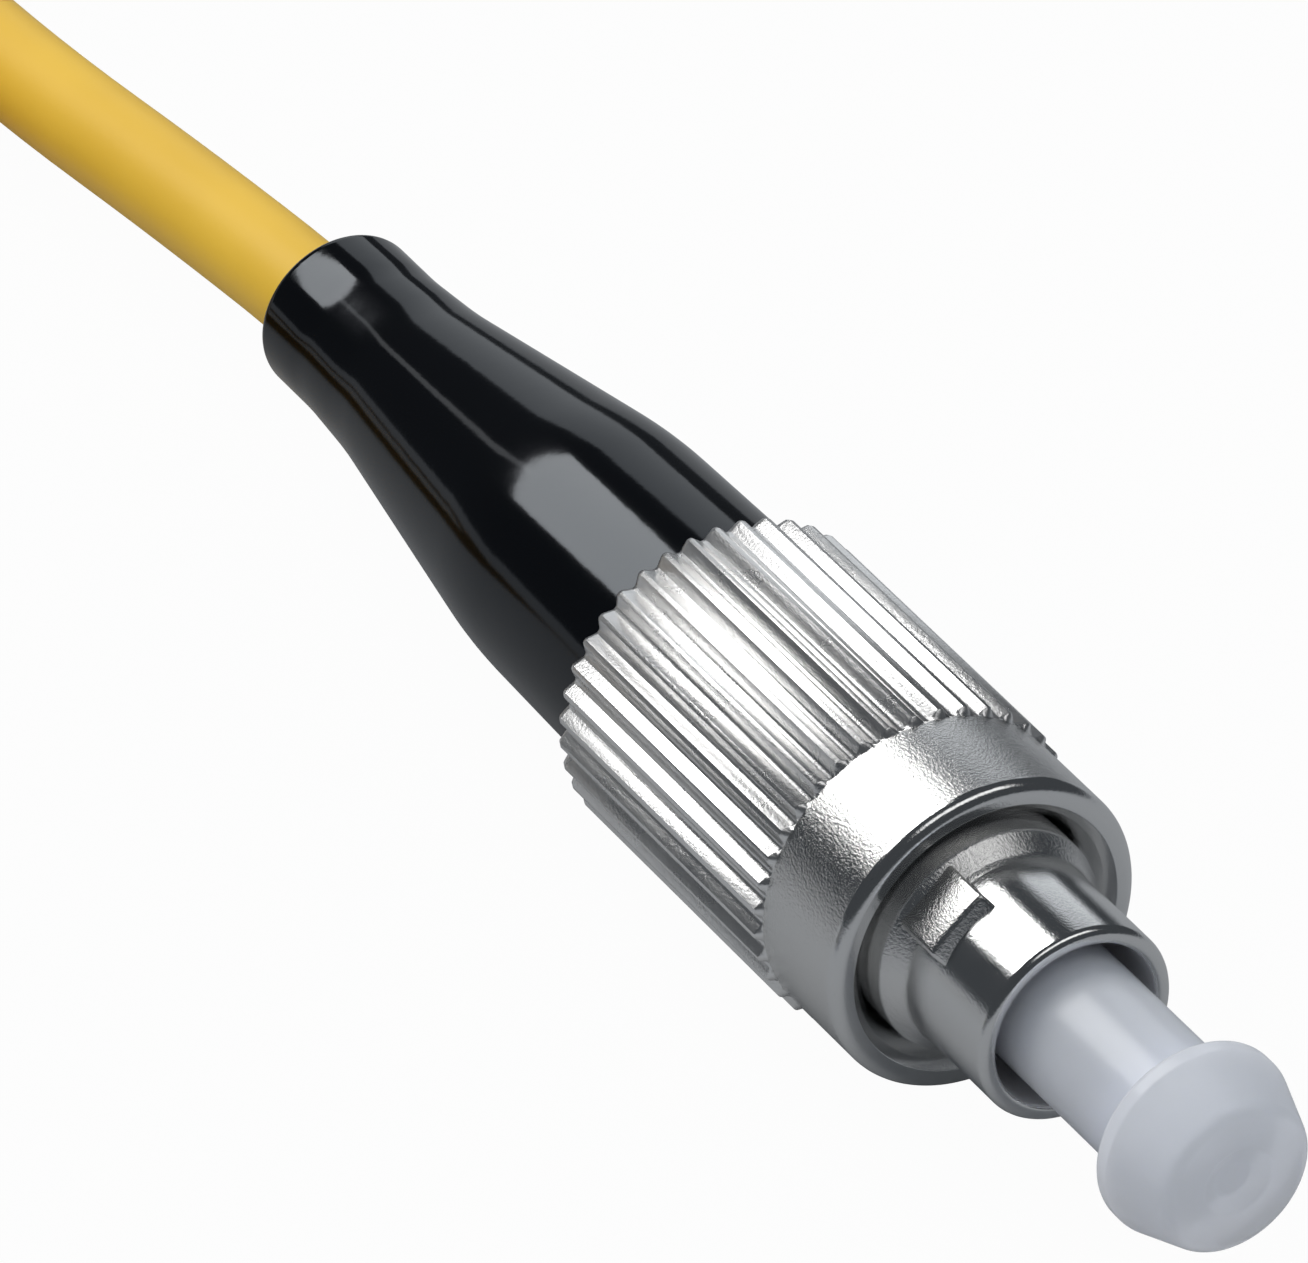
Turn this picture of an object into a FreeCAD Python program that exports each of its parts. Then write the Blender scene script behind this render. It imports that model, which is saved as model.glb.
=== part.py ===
import FreeCAD, Part
import math
import os
import re
import Sketcher
from FreeCAD import Vector

# Fibre patch cord: a threaded FC plug, a 3 mm simplex cable tied in a coil, and an LC plug.
# Millimetres. Both plugs point along +X, +Z is up and the surface that the cord lies on is z = 0.

doc = FreeCAD.newDocument("fibre_patch_cord")

# Driving dimensions
SIZES = {
    # FC coupling nut
    "fc_nut_x": -2.9,
    "nut_length": 14.1,
    "nut_wall": 1.18,
    "nut_rib_height": 0.22,
    "nut_rib_length": 10.5,
    "nut_rib_count": 38,
    "nut_groove_floor": 0.26,
    "nut_groove_mouth": 0.46,
    "nut_rear_chamfer": 0.22,
    "nut_rib_slope": 0.18,
    "nut_front_round": 0.42,
    "nut_mouth_chamfer": 0.55,
    "nut_mouth_depth": 0.5,
    "nut_thread_depth": 6.1,
    "nut_web_length": 2.5,
    "nut_rear_wall": 0.43,
    # Split ring that holds the nut on the plug
    "ring_width": 0.8,
    "ring_wall": 0.55,
    "ring_gap": 1.2,
    "running_clearance": 0.06,
    # FC plug frame
    "barrel_diameter": 6.0,
    "barrel_wall": 0.5,
    "barrel_reach": 4.55,
    "barrel_rim_round": 0.2,
    "cove_height": 0.45,
    "flange_clearance": 0.15,
    "flange_setback": 0.2,
    "flange_length": 2.9,
    "cove_length": 1.75,
    "cove_round": 2.5,
    "key_width": 2.1,
    "key_length": 2.1,
    "key_root": 0.3,
    "key_drop": 0.08,
    "key_chamfer": 0.14,
    "key_angle": 41.0,
    "neck_diameter": 6.0,
    "neck_length": 9.0,
    "mouth_depth": 5.15,
    "seat_length": 1.5,
    "seat_bore": 3.5,
    "chamber_diameter": 4.6,
    # FC ferrule, its holder and spring
    "ferrule_diameter": 2.5,
    "ferrule_length": 10.5,
    "ferrule_reach": 3.15,
    "ferrule_chamfer": 0.3,
    "holder_clearance": 0.08,
    "holder_length": 1.8,
    "holder_boss_length": 1.8,
    "holder_tail_diameter": 1.9,
    "holder_tail_length": 2.0,
    "holder_notch_width": 0.7,
    "holder_notch_depth": 0.35,
    "holder_notch_count": 4,
    "ferrule_travel": 1.2,
    "spring_clearance": 0.25,
    "spring_wire": 0.45,
    "spring_turns": 6,
    # FC rear body, crimp and boot
    "fit_clearance": 0.03,
    "spigot_length": 1.8,
    "stop_clearance": 0.45,
    "stop_length": 1.5,
    "hub_diameter": 5.6,
    "hub_length": 3.0,
    "post_diameter": 3.2,
    "post_length": 6.0,
    "post_barbs": 5,
    "post_barb_depth": 0.12,
    "fibre_diameter": 0.9,
    "fibre_bore": 1.3,
    "yarn_thickness": 0.22,
    "crimp_wall": 0.3,
    "crimp_grip": 2.2,
    "jacket_gap": 0.3,
    "boot_length": 21.0,
    "boot_rear_wall": 0.75,
    "boot_collar_length": 2.3,
    "boot_neck_flare": 0.17,
    "boot_neck_length": 2.3,
    "boot_taper_length": 8.9,
    "boot_draft": 0.16,
    "boot_nut_clearance": 0.15,
    "boot_edge_round": 0.35,
    "boot_shoulder_blend": 22.0,
    "boot_cable_clearance": 0.25,
    # FC dust cap
    "cap_gap": 0.3,
    "cap_wall": 0.74,
    "cap_shaft_reach": 5.6,
    "cap_lip": 0.865,
    "cap_head_length": 2.25,
    "cap_cone": 0.635,
    "cap_shoulder_round": 0.3,
    "cap_face_round": 0.45,
    "cap_dimple_diameter": 1.7,
    "cap_dimple_depth": 0.2,
    # Cable, coil and tie
    "cable_diameter": 3.0,
    "coil_columns": 4,
    "coil_rows": 2,
    "coil_mean_diameter": 36.0,
    "coil_x": -58.0,
    "coil_y": -21.7,
    "coil_edge_chamfer": 0.9,
    "coil_entry_run": 7.5,
    "coil_exit_run": 11.6,
    "lead_first_bend": 0.336,
    "lead_first_drop": 0.306,
    "lead_second_bend": 0.685,
    "lead_second_drop": 0.729,
    "tail_boot_run": 4.1,
    "tie_width": 5.0,
    "tie_thickness": 0.6,
    # LC plug
    "lc_tip_x": 21.0,
    "lc_y": -40.5,
    "lc_nose_size": 4.5,
    "lc_nose_length": 7.5,
    "lc_body_size": 5.2,
    "lc_body_length": 7.5,
    "lc_edge_round": 0.35,
    "lc_mouth_diameter": 2.9,
    "lc_mouth_depth": 2.5,
    "lc_seat_bore": 2.0,
    "lc_seat_length": 1.5,
    "lc_chamber_diameter": 3.5,
    "lc_ferrule_diameter": 1.25,
    "lc_ferrule_length": 6.4,
    "lc_ferrule_reach": 1.8,
    "lc_ferrule_chamfer": 0.2,
    "lc_holder_length": 1.4,
    "lc_holder_boss_length": 1.7,
    "lc_holder_tail_diameter": 1.5,
    "lc_holder_tail_length": 1.6,
    "lc_ferrule_travel": 1.0,
    "lc_spring_clearance": 0.2,
    "lc_spring_wire": 0.3,
    "lc_spring_turns": 6,
    "lc_spigot_length": 4.4,
    "lc_stop_setback": 0.2,
    "lc_stop_length": 1.5,
    "lc_post_diameter": 3.0,
    "lc_post_length": 7.2,
    "lc_boot_length": 25.0,
    "lc_boot_wall": 0.45,
    "lc_boot_socket_length": 9.0,
    "lc_cap_wall": 0.65,
    "lc_cap_gap": 0.3,
    "lc_cap_lip": 0.5,
    "lc_cap_head_length": 2.6,
    "lc_cap_shaft_reach": 2.9,
    "lc_latch_width": 2.6,
    "lc_latch_ear_width": 4.0,
    "lc_latch_thickness": 0.8,
    "lc_latch_root": 0.6,
    "lc_latch_reach": 10.4,
    "lc_latch_rise": 2.1,
    "lc_latch_ear_length": 2.2,
    "lc_latch_ear_setback": 4.4,
    "lc_lever_clearance": 0.1,
    "lc_trigger_width": 3.6,
    "lc_trigger_thickness": 0.9,
    "lc_trigger_setback": 0.5,
    "lc_trigger_reach": 5.2,
    "lc_trigger_lip": 2.0,
}

# Places along each plug, worked out from the driving dimensions.
# FC stations start at the nut's rear face, LC stations at the front of the housing.
STATIONS = {
    "barrel_radius": "barrel_diameter / 2",
    "barrel_bore_radius": "barrel_radius - barrel_wall",
    "flange_radius": "barrel_radius + cove_height",
    "nut_bore_radius": "flange_radius + flange_clearance",
    "nut_mouth_radius": "nut_bore_radius + nut_mouth_chamfer",
    "nut_sleeve_radius": "nut_bore_radius + nut_wall",
    "nut_rib_radius": "nut_sleeve_radius + nut_rib_height",
    "nut_rear_radius": "nut_sleeve_radius - nut_rear_wall",
    "web_front": "nut_length - nut_thread_depth",
    "web_rear": "web_front - nut_web_length",
    "neck_radius": "neck_diameter / 2",
    "ring_inner": "neck_radius + running_clearance",
    "ring_outer": "ring_inner + ring_wall",
    "ring_front": "(web_front + web_rear + ring_width) / 2",
    "ring_rear": "ring_front - ring_width",
    "groove_radius": "ring_outer + running_clearance",
    "flange_front": "nut_length - flange_setback",
    "flange_rear": "flange_front - flange_length",
    "frame_rear": "flange_rear - neck_length",
    "key_top": "flange_radius - key_drop",
    "barrel_front": "nut_length + barrel_reach",
    "barrel_foot": "flange_front + cove_length",
    "seat_front": "barrel_front - mouth_depth",
    "seat_rear": "seat_front - seat_length",
    "ferrule_tip": "barrel_front + ferrule_reach",
    "ferrule_rear": "ferrule_tip - ferrule_length",
    "holder_front": "seat_rear + holder_boss_length",
    "holder_rear": "seat_rear - holder_length",
    "holder_tail": "holder_rear - holder_tail_length",
    "holder_radius": "chamber_diameter / 2 - holder_clearance",
    "holder_boss_radius": "seat_bore / 2 - holder_clearance",
    "spring_radius": "chamber_diameter / 2 - spring_clearance",
    "fibre_radius": "fibre_diameter / 2",
    "holder_fibre_bore": "fibre_radius + running_clearance",
    "fibre_front": "ferrule_rear - ferrule_travel - running_clearance",
    "spigot_front": "frame_rear + spigot_length",
    "spigot_radius": "chamber_diameter / 2 - fit_clearance",
    "stop_radius": "nut_rear_radius - stop_clearance",
    "stop_rear": "frame_rear - stop_length",
    "hub_rear": "stop_rear - hub_length",
    "post_rear": "hub_rear - post_length",
    "post_radius": "post_diameter / 2",
    "jacket_front": "post_rear - jacket_gap",
    "cable_radius": "cable_diameter / 2",
    "yarn_radius": "post_radius + yarn_thickness",
    "crimp_radius": "yarn_radius + crimp_wall",
    "crimp_neck_bore": "cable_radius + fit_clearance",
    "crimp_rear": "jacket_front - crimp_grip",
    "boot_rear": "stop_rear - boot_length",
    "boot_collar_end": "boot_rear + boot_collar_length",
    "boot_neck_end": "boot_collar_end + boot_neck_length",
    "boot_taper_end": "boot_neck_end + boot_taper_length",
    "boot_bore": "cable_radius + boot_cable_clearance",
    "boot_rear_radius": "boot_bore + boot_rear_wall",
    "boot_neck_radius": "boot_rear_radius + boot_neck_flare",
    "boot_front_radius": "nut_rear_radius - boot_nut_clearance",
    "boot_shoulder_radius": "boot_front_radius - boot_draft",
    "cap_rear": "seat_front + ferrule_travel + cap_gap",
    "cap_shoulder": "barrel_front + cap_shaft_reach",
    "cap_front": "cap_shoulder + cap_head_length",
    "cap_bore": "ferrule_diameter / 2 + fit_clearance",
    "cap_bore_end": "ferrule_tip + cap_gap",
    "cap_shaft_radius": "cap_bore + cap_wall",
    "cap_head_radius": "cap_shaft_radius + cap_lip",
    "cap_face_radius": "cap_head_radius - cap_cone",
    "axis_height": "nut_rib_radius",
    "coil_inner": "coil_mean_diameter / 2 - coil_columns * cable_radius",
    "coil_outer": "coil_mean_diameter / 2 + coil_columns * cable_radius",
    "coil_height": "coil_rows * cable_diameter",
    "coil_entry_x": "coil_x + coil_entry_run",
    "coil_entry_y": "coil_y + coil_outer - cable_radius",
    "coil_exit_y": "coil_y - coil_outer + cable_radius",
    "coil_top": "coil_height - cable_radius",
    "boot_exit": "fc_nut_x + boot_rear + cable_radius",
    "lead_run": "coil_entry_x - boot_exit",
    "lead_drop": "axis_height - cable_radius",
    "lc_axis_height": "lc_body_size / 2",
    "lc_body_rear": "-(lc_nose_length + lc_body_length)",
    "lc_seat_front": "-lc_mouth_depth",
    "lc_seat_rear": "lc_seat_front - lc_seat_length",
    "lc_ferrule_rear": "lc_ferrule_reach - lc_ferrule_length",
    "lc_holder_front": "lc_seat_rear + lc_holder_boss_length",
    "lc_holder_rear": "lc_seat_rear - lc_holder_length",
    "lc_holder_tail": "lc_holder_rear - lc_holder_tail_length",
    "lc_holder_radius": "lc_chamber_diameter / 2 - holder_clearance",
    "lc_holder_boss_radius": "lc_seat_bore / 2 - holder_clearance",
    "lc_spring_radius": "lc_chamber_diameter / 2 - lc_spring_clearance",
    "lc_fibre_front": "lc_ferrule_rear - lc_ferrule_travel - running_clearance",
    "lc_spigot_front": "lc_body_rear + lc_spigot_length",
    "lc_spigot_radius": "lc_chamber_diameter / 2 - fit_clearance",
    "lc_stop_radius": "lc_body_size / 2 - lc_stop_setback",
    "lc_stop_rear": "lc_body_rear - lc_stop_length",
    "lc_post_radius": "lc_post_diameter / 2",
    "lc_post_rear": "lc_stop_rear - lc_post_length",
    "lc_jacket_front": "lc_post_rear - jacket_gap",
    "lc_yarn_radius": "lc_post_radius + yarn_thickness",
    "lc_crimp_radius": "lc_yarn_radius + crimp_wall",
    "lc_crimp_rear": "lc_jacket_front - crimp_grip",
    "lc_boot_rear": "lc_stop_rear - lc_boot_length",
    "lc_boot_front_radius": "lc_crimp_radius + lc_boot_wall",
    "lc_boot_rear_radius": "boot_bore + lc_boot_wall",
    "lc_cap_rear": "lc_seat_front + lc_ferrule_travel + lc_cap_gap",
    "lc_cap_shoulder": "lc_cap_shaft_reach",
    "lc_cap_front": "lc_cap_shoulder + lc_cap_head_length",
    "lc_cap_bore": "lc_ferrule_diameter / 2 + fit_clearance",
    "lc_cap_bore_end": "lc_ferrule_reach + lc_cap_gap",
    "lc_cap_radius": "lc_cap_bore + lc_cap_wall",
    "lc_cap_head_radius": "lc_cap_radius + lc_cap_lip",
    "latch_root_z": "lc_nose_size / 2 + lc_lever_clearance",
    "latch_end_x": "-(lc_latch_root + lc_latch_reach)",
    "latch_end_z": "latch_root_z + lc_latch_rise",
    "trigger_root_x": "lc_body_rear + lc_trigger_setback",
    "trigger_root_z": "lc_body_size / 2 + lc_lever_clearance",
    "trigger_tip_x": "trigger_root_x + lc_trigger_reach",
    "trigger_tip_z": "latch_end_z + lc_latch_thickness + 2 * lc_lever_clearance",
}

OWNER = dict.fromkeys(SIZES, "sizes") | dict.fromkeys(STATIONS, "stations")


def bound(text):
    """The expression with each name taken from its sheet."""
    return re.sub(r"[a-z]\w*", lambda word: f"{OWNER[word.group()]}.{word.group()}", text)


sizes = doc.addObject("Spreadsheet::Sheet", "sizes")
for row, (alias, number) in enumerate(SIZES.items(), 1):
    sizes.set(f"A{row}", alias)
    sizes.set(f"B{row}", str(number))
    sizes.setAlias(f"B{row}", alias)
doc.recompute()

stations = doc.addObject("Spreadsheet::Sheet", "stations")
for row, alias in enumerate(STATIONS, 1):
    stations.set(f"A{row}", alias)
    stations.setAlias(f"B{row}", alias)
for row, formula in enumerate(STATIONS.values(), 1):
    stations.set(f"B{row}", "=" + bound(formula).replace("stations.", ""))
doc.recompute()


def value(text):
    return float(sizes.evalExpression(bound(text)))


def new_sketch(body, name, plane):
    sketch = body.newObject("Sketcher::SketchObject", name)
    face = next(feature for feature in body.Origin.OriginFeatures if feature.Role == plane)
    sketch.AttachmentSupport = [(face, "")]
    sketch.MapMode = "FlatFace"
    return sketch


def pin_point(sketch, geometry, point, across, up):
    """Hold one point of a sketch at a pair of expressions."""
    for kind, text in (("DistanceX", across), ("DistanceY", up)):
        index = sketch.addConstraint(Sketcher.Constraint(kind, geometry, point, value(text)))
        sketch.setExpression(f"Constraints[{index}]", bound(text))


def add_outline(sketch, points):
    """A closed outline of straight sides with its corners at pairs of expressions."""
    first = sketch.GeometryCount
    corners = [Vector(value(across), value(up), 0) for across, up in points]
    for start, end in zip(corners, corners[1:] + corners[:1]):
        sketch.addGeometry(Part.LineSegment(start, end), False)
    for index, (across, up) in enumerate(points):
        before = first + (index - 1) % len(points)
        sketch.addConstraint(Sketcher.Constraint("Coincident", before, 2, first + index, 1))
        pin_point(sketch, first + index, 1, across, up)


def new_body(name):
    return doc.addObject("PartDesign::Body", name)


def turned(name, points):
    """A body turned about the X axis from pairs of (station, radius)."""
    body = new_body(name)
    sketch = new_sketch(body, name + "_outline", "XY_Plane")
    add_outline(sketch, points)
    turn = body.newObject("PartDesign::Revolution", name + "_turn")
    turn.Profile = sketch
    turn.ReferenceAxis = (sketch, ["H_Axis"])
    turn.Angle = 360
    doc.recompute()
    return body


def round_edges(body, radius, *places):
    """Blend the turned edges at pairs of (station, radius)."""
    wanted = [(value(station), value(edge_radius)) for station, edge_radius in places]
    names = []
    for number, edge in enumerate(body.Tip.Shape.Edges, 1):
        if not isinstance(edge.Curve, Part.Circle):
            continue
        centre = edge.Curve.Center
        found = (centre.x, edge.Curve.Radius)
        on_axis = math.hypot(centre.y, centre.z) < 1e-6
        if on_axis and any(math.dist(found, place) < 1e-4 for place in wanted):
            names.append(f"Edge{number}")
    base = body.Tip
    fillet = body.newObject("PartDesign::Fillet", f"{body.Name}_round{len(body.Group)}")
    fillet.Base = (base, names)
    fillet.setExpression("Radius", bound(radius))
    body.Tip = fillet
    doc.recompute()


def cut_pattern(body, sketch, depth, count, backwards=False):
    """Cut a sketch along X and repeat the cut round the X axis."""
    pocket = body.newObject("PartDesign::Pocket", sketch.Name + "_cut")
    pocket.Profile = sketch
    pocket.Reversed = backwards
    pocket.setExpression("Length", bound(depth))
    doc.recompute()
    pattern = body.newObject("PartDesign::PolarPattern", sketch.Name + "_pattern")
    pattern.Originals = [pocket]
    axis = next(feature for feature in body.Origin.OriginFeatures if feature.Role == "X_Axis")
    pattern.Axis = (axis, [""])
    pattern.Angle = 360
    pattern.setExpression("Occurrences", bound(count))
    body.Tip = pattern
    doc.recompute()


def place_fc(item):
    """Put an FC piece on the plug's axis."""
    item.setExpression("Placement.Base.x", bound("fc_nut_x"))
    item.setExpression("Placement.Base.z", bound("axis_height"))


def place_lc(item):
    """Put an LC piece on the plug's axis."""
    item.setExpression("Placement.Base.x", bound("lc_tip_x"))
    item.setExpression("Placement.Base.y", bound("lc_y"))
    item.setExpression("Placement.Base.z", bound("lc_axis_height"))


def coupling_nut():
    body = turned("fc_coupling_nut", [
        ("0", "nut_rear_radius"),
        ("0", "nut_rib_radius - nut_rear_chamfer"),
        ("nut_rear_chamfer", "nut_rib_radius"),
        ("nut_rib_length - nut_rib_slope", "nut_rib_radius"),
        ("nut_rib_length", "nut_sleeve_radius"),
        ("nut_length", "nut_sleeve_radius"),
        ("nut_length", "nut_mouth_radius"),
        ("nut_length - nut_mouth_depth", "nut_bore_radius"),
        ("web_front", "nut_bore_radius"),
        ("web_front", "ring_inner"),
        ("ring_front + running_clearance", "ring_inner"),
        ("ring_front + running_clearance", "groove_radius"),
        ("ring_rear - running_clearance", "groove_radius"),
        ("ring_rear - running_clearance", "ring_inner"),
        ("web_rear", "ring_inner"),
        ("web_rear", "nut_rear_radius"),
    ])
    round_edges(body, "nut_front_round", ("nut_length", "nut_sleeve_radius"))
    groove = new_sketch(body, "rib_groove", "YZ_Plane")
    groove.AttachmentOffset = FreeCAD.Placement(Vector(), FreeCAD.Rotation(Vector(0, 0, 1), 1))
    groove.setExpression("AttachmentOffset.Rotation.Angle", bound("180 / nut_rib_count"))
    add_outline(groove, [
        ("-nut_groove_floor / 2", "-nut_sleeve_radius"),
        ("nut_groove_floor / 2", "-nut_sleeve_radius"),
        ("nut_groove_mouth / 2", "-nut_rib_radius - nut_groove_floor"),
        ("-nut_groove_mouth / 2", "-nut_rib_radius - nut_groove_floor"),
    ])
    cut_pattern(body, groove, "nut_rib_length", "nut_rib_count", backwards=True)
    return body


def retaining_ring():
    body = turned("fc_retaining_ring", [
        ("ring_rear", "ring_inner"),
        ("ring_rear", "ring_outer"),
        ("ring_front", "ring_outer"),
        ("ring_front", "ring_inner"),
    ])
    split = new_sketch(body, "ring_split", "XY_Plane")
    add_outline(split, [
        ("ring_rear - ring_width", "-ring_gap / 2"),
        ("ring_front + ring_width", "-ring_gap / 2"),
        ("ring_front + ring_width", "ring_gap / 2"),
        ("ring_rear - ring_width", "ring_gap / 2"),
    ])
    pocket = body.newObject("PartDesign::Pocket", "ring_split_cut")
    pocket.Profile = split
    pocket.setExpression("Length", bound("ring_outer + ring_width"))
    body.Tip = pocket
    return body


def plug_frame():
    body = turned("fc_plug_frame", [
        ("barrel_front", "barrel_bore_radius"),
        ("barrel_front", "barrel_radius"),
        ("barrel_foot", "barrel_radius"),
        ("flange_front", "flange_radius"),
        ("flange_rear", "flange_radius"),
        ("flange_rear", "neck_radius"),
        ("frame_rear", "neck_radius"),
        ("frame_rear", "chamber_diameter / 2"),
        ("seat_rear", "chamber_diameter / 2"),
        ("seat_rear", "seat_bore / 2"),
        ("seat_front", "seat_bore / 2"),
        ("seat_front", "barrel_bore_radius"),
    ])
    round_edges(body, "cove_round", ("barrel_foot", "barrel_radius"))
    round_edges(body, "barrel_rim_round",
                ("barrel_front", "barrel_radius"), ("barrel_front", "barrel_bore_radius"))
    key = new_sketch(body, "key_side", "XZ_Plane")
    add_outline(key, [
        ("flange_front - key_root", "barrel_radius - key_root"),
        ("flange_front + key_length + key_chamfer", "barrel_radius - key_root"),
        ("flange_front + key_length", "key_top - key_chamfer"),
        ("flange_front + key_length - key_chamfer", "key_top"),
        ("flange_front - key_root", "key_top"),
    ])
    pad = body.newObject("PartDesign::Pad", "key_pad")
    pad.Profile = key
    pad.Midplane = True
    pad.setExpression("Length", bound("key_width"))
    body.Tip = pad
    body.Placement = FreeCAD.Placement(Vector(), FreeCAD.Rotation(Vector(1, 0, 0), 1))
    body.setExpression("Placement.Rotation.Angle", bound("key_angle"))
    return body


def ferrule(name, tip, rear, diameter, chamfer):
    return turned(name, [
        (rear, "0"),
        (rear, f"{diameter} / 2"),
        (f"{tip} - {chamfer}", f"{diameter} / 2"),
        (tip, f"{diameter} / 2 - {chamfer}"),
        (tip, "0"),
    ])


def ferrule_holder(prefix):
    """Metal holder with the ferrule pressed into its boss and a tail for the fibre."""
    end = "lc_" if prefix == "lc" else ""
    body = turned(f"{prefix}_ferrule_holder", [
        (f"{end}holder_front", f"{end}ferrule_diameter / 2"),
        (f"{end}holder_front", f"{end}holder_boss_radius"),
        (f"{end}seat_rear", f"{end}holder_boss_radius"),
        (f"{end}seat_rear", f"{end}holder_radius"),
        (f"{end}holder_rear", f"{end}holder_radius"),
        (f"{end}holder_rear", f"{end}holder_tail_diameter / 2"),
        (f"{end}holder_tail", f"{end}holder_tail_diameter / 2"),
        (f"{end}holder_tail", "holder_fibre_bore"),
        (f"{end}ferrule_rear", "holder_fibre_bore"),
        (f"{end}ferrule_rear", f"{end}ferrule_diameter / 2"),
    ])
    notch = new_sketch(body, f"{prefix}_holder_notch", "YZ_Plane")
    notch.setExpression("AttachmentOffset.Base.z", bound(f"{end}seat_rear"))
    add_outline(notch, [
        ("-holder_notch_width / 2", f"{end}holder_radius - holder_notch_depth"),
        ("holder_notch_width / 2", f"{end}holder_radius - holder_notch_depth"),
        ("holder_notch_width / 2", f"{end}holder_radius + holder_notch_depth"),
        ("-holder_notch_width / 2", f"{end}holder_radius + holder_notch_depth"),
    ])
    cut_pattern(body, notch, f"{end}holder_length", "holder_notch_count")
    return body


def coil_spring(name, rear, front, radius, wire, turns):
    """Coil spring, its round wire drawn with a few flat sides."""
    sides = 6
    body = new_body(name)
    sketch = new_sketch(body, name + "_wire", "XY_Plane")
    corners = [math.tau * number / sides for number in range(sides)]
    add_outline(sketch, [
        (f"{rear} + {wire} / 2 * {1 + math.cos(turn):.5f}",
         f"{radius} - {wire} / 2 * {1 - math.sin(turn):.5f}") for turn in corners])
    helix = body.newObject("PartDesign::AdditiveHelix", name + "_helix")
    helix.Profile = sketch
    helix.ReferenceAxis = (sketch, ["H_Axis"])
    helix.Mode = 2
    helix.setExpression("Height", bound(f"{front} - {rear} - {wire}"))
    helix.setExpression("Turns", bound(turns))
    body.Tip = helix
    doc.recompute()
    return body


def fc_rear_body():
    barb_pitch = "post_length / (post_barbs + 1)"
    barbs = []
    for number in range(1, int(SIZES["post_barbs"]) + 1):
        crest = f"hub_rear - {number} * {barb_pitch}"
        barbs += [
            (f"{crest} + 2 * post_barb_depth", "post_radius"),
            (crest, "post_radius - post_barb_depth"),
            (f"{crest} - post_barb_depth / 2", "post_radius"),
        ]
    return turned("fc_rear_body", [
        ("spigot_front", "fibre_bore / 2"),
        ("spigot_front", "spigot_radius"),
        ("frame_rear", "spigot_radius"),
        ("frame_rear", "stop_radius"),
        ("stop_rear", "stop_radius"),
        ("stop_rear", "hub_diameter / 2"),
        ("hub_rear", "hub_diameter / 2"),
        ("hub_rear", "post_radius"),
        *barbs,
        ("post_rear", "post_radius"),
        ("post_rear", "fibre_bore / 2"),
    ])


def lc_rear_body():
    return turned("lc_rear_body", [
        ("lc_spigot_front", "fibre_bore / 2"),
        ("lc_spigot_front", "lc_spigot_radius"),
        ("lc_body_rear", "lc_spigot_radius"),
        ("lc_body_rear", "lc_stop_radius"),
        ("lc_stop_rear", "lc_stop_radius"),
        ("lc_stop_rear", "lc_post_radius"),
        ("lc_post_rear", "lc_post_radius"),
        ("lc_post_rear", "fibre_bore / 2"),
    ])


def yarn_layer(name, front, rear, post, outer):
    """Strength yarn of the cable, combed back over the crimp post."""
    return turned(name, [
        (f"{front} - fit_clearance", f"{post} + fit_clearance / 2"),
        (f"{front} - fit_clearance", f"{outer} - fit_clearance / 2"),
        (rear, f"{outer} - fit_clearance / 2"),
        (rear, f"{post} + fit_clearance / 2"),
    ])


def crimp_sleeve(name, front, jacket, rear, bore, outer):
    """Stepped sleeve: wide over the yarn and the post, narrow over the jacket."""
    return turned(name, [
        (f"{front} - fit_clearance", bore),
        (f"{front} - fit_clearance", outer),
        (jacket, outer),
        (f"{jacket} - crimp_wall", "crimp_neck_bore + crimp_wall"),
        (rear, "crimp_neck_bore + crimp_wall"),
        (rear, "crimp_neck_bore"),
        (jacket, "crimp_neck_bore"),
        (jacket, bore),
    ])


def fc_boot():
    body = turned("fc_boot", [
        ("stop_rear", "hub_diameter / 2 + fit_clearance"),
        ("stop_rear", "boot_front_radius"),
        ("boot_taper_end", "boot_shoulder_radius"),
        ("boot_neck_end", "boot_neck_radius"),
        ("boot_collar_end", "boot_rear_radius"),
        ("boot_rear", "boot_rear_radius"),
        ("boot_rear", "boot_bore"),
        ("crimp_rear - fit_clearance", "boot_bore"),
        ("crimp_rear - fit_clearance", "crimp_radius + fit_clearance"),
        ("hub_rear", "crimp_radius + fit_clearance"),
        ("hub_rear", "hub_diameter / 2 + fit_clearance"),
    ])
    round_edges(body, "boot_shoulder_blend", ("boot_taper_end", "boot_shoulder_radius"))
    round_edges(body, "boot_edge_round", ("boot_rear", "boot_rear_radius"))
    return body


def fc_dust_cap():
    body = turned("fc_dust_cap", [
        ("cap_rear", "cap_bore"),
        ("cap_rear", "cap_shaft_radius"),
        ("cap_shoulder - cap_shoulder_round", "cap_shaft_radius"),
        ("cap_shoulder - cap_shoulder_round", "cap_head_radius"),
        ("cap_shoulder + cap_shoulder_round", "cap_head_radius"),
        ("cap_front", "cap_face_radius"),
        ("cap_front", "cap_dimple_diameter / 2"),
        ("cap_front - cap_dimple_depth", "0"),
        ("cap_bore_end", "0"),
        ("cap_bore_end", "cap_bore"),
    ])
    round_edges(body, "cap_shoulder_round",
                ("cap_shoulder + cap_shoulder_round", "cap_head_radius"))
    round_edges(body, "cap_face_round", ("cap_front", "cap_face_radius"))
    return body


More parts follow.
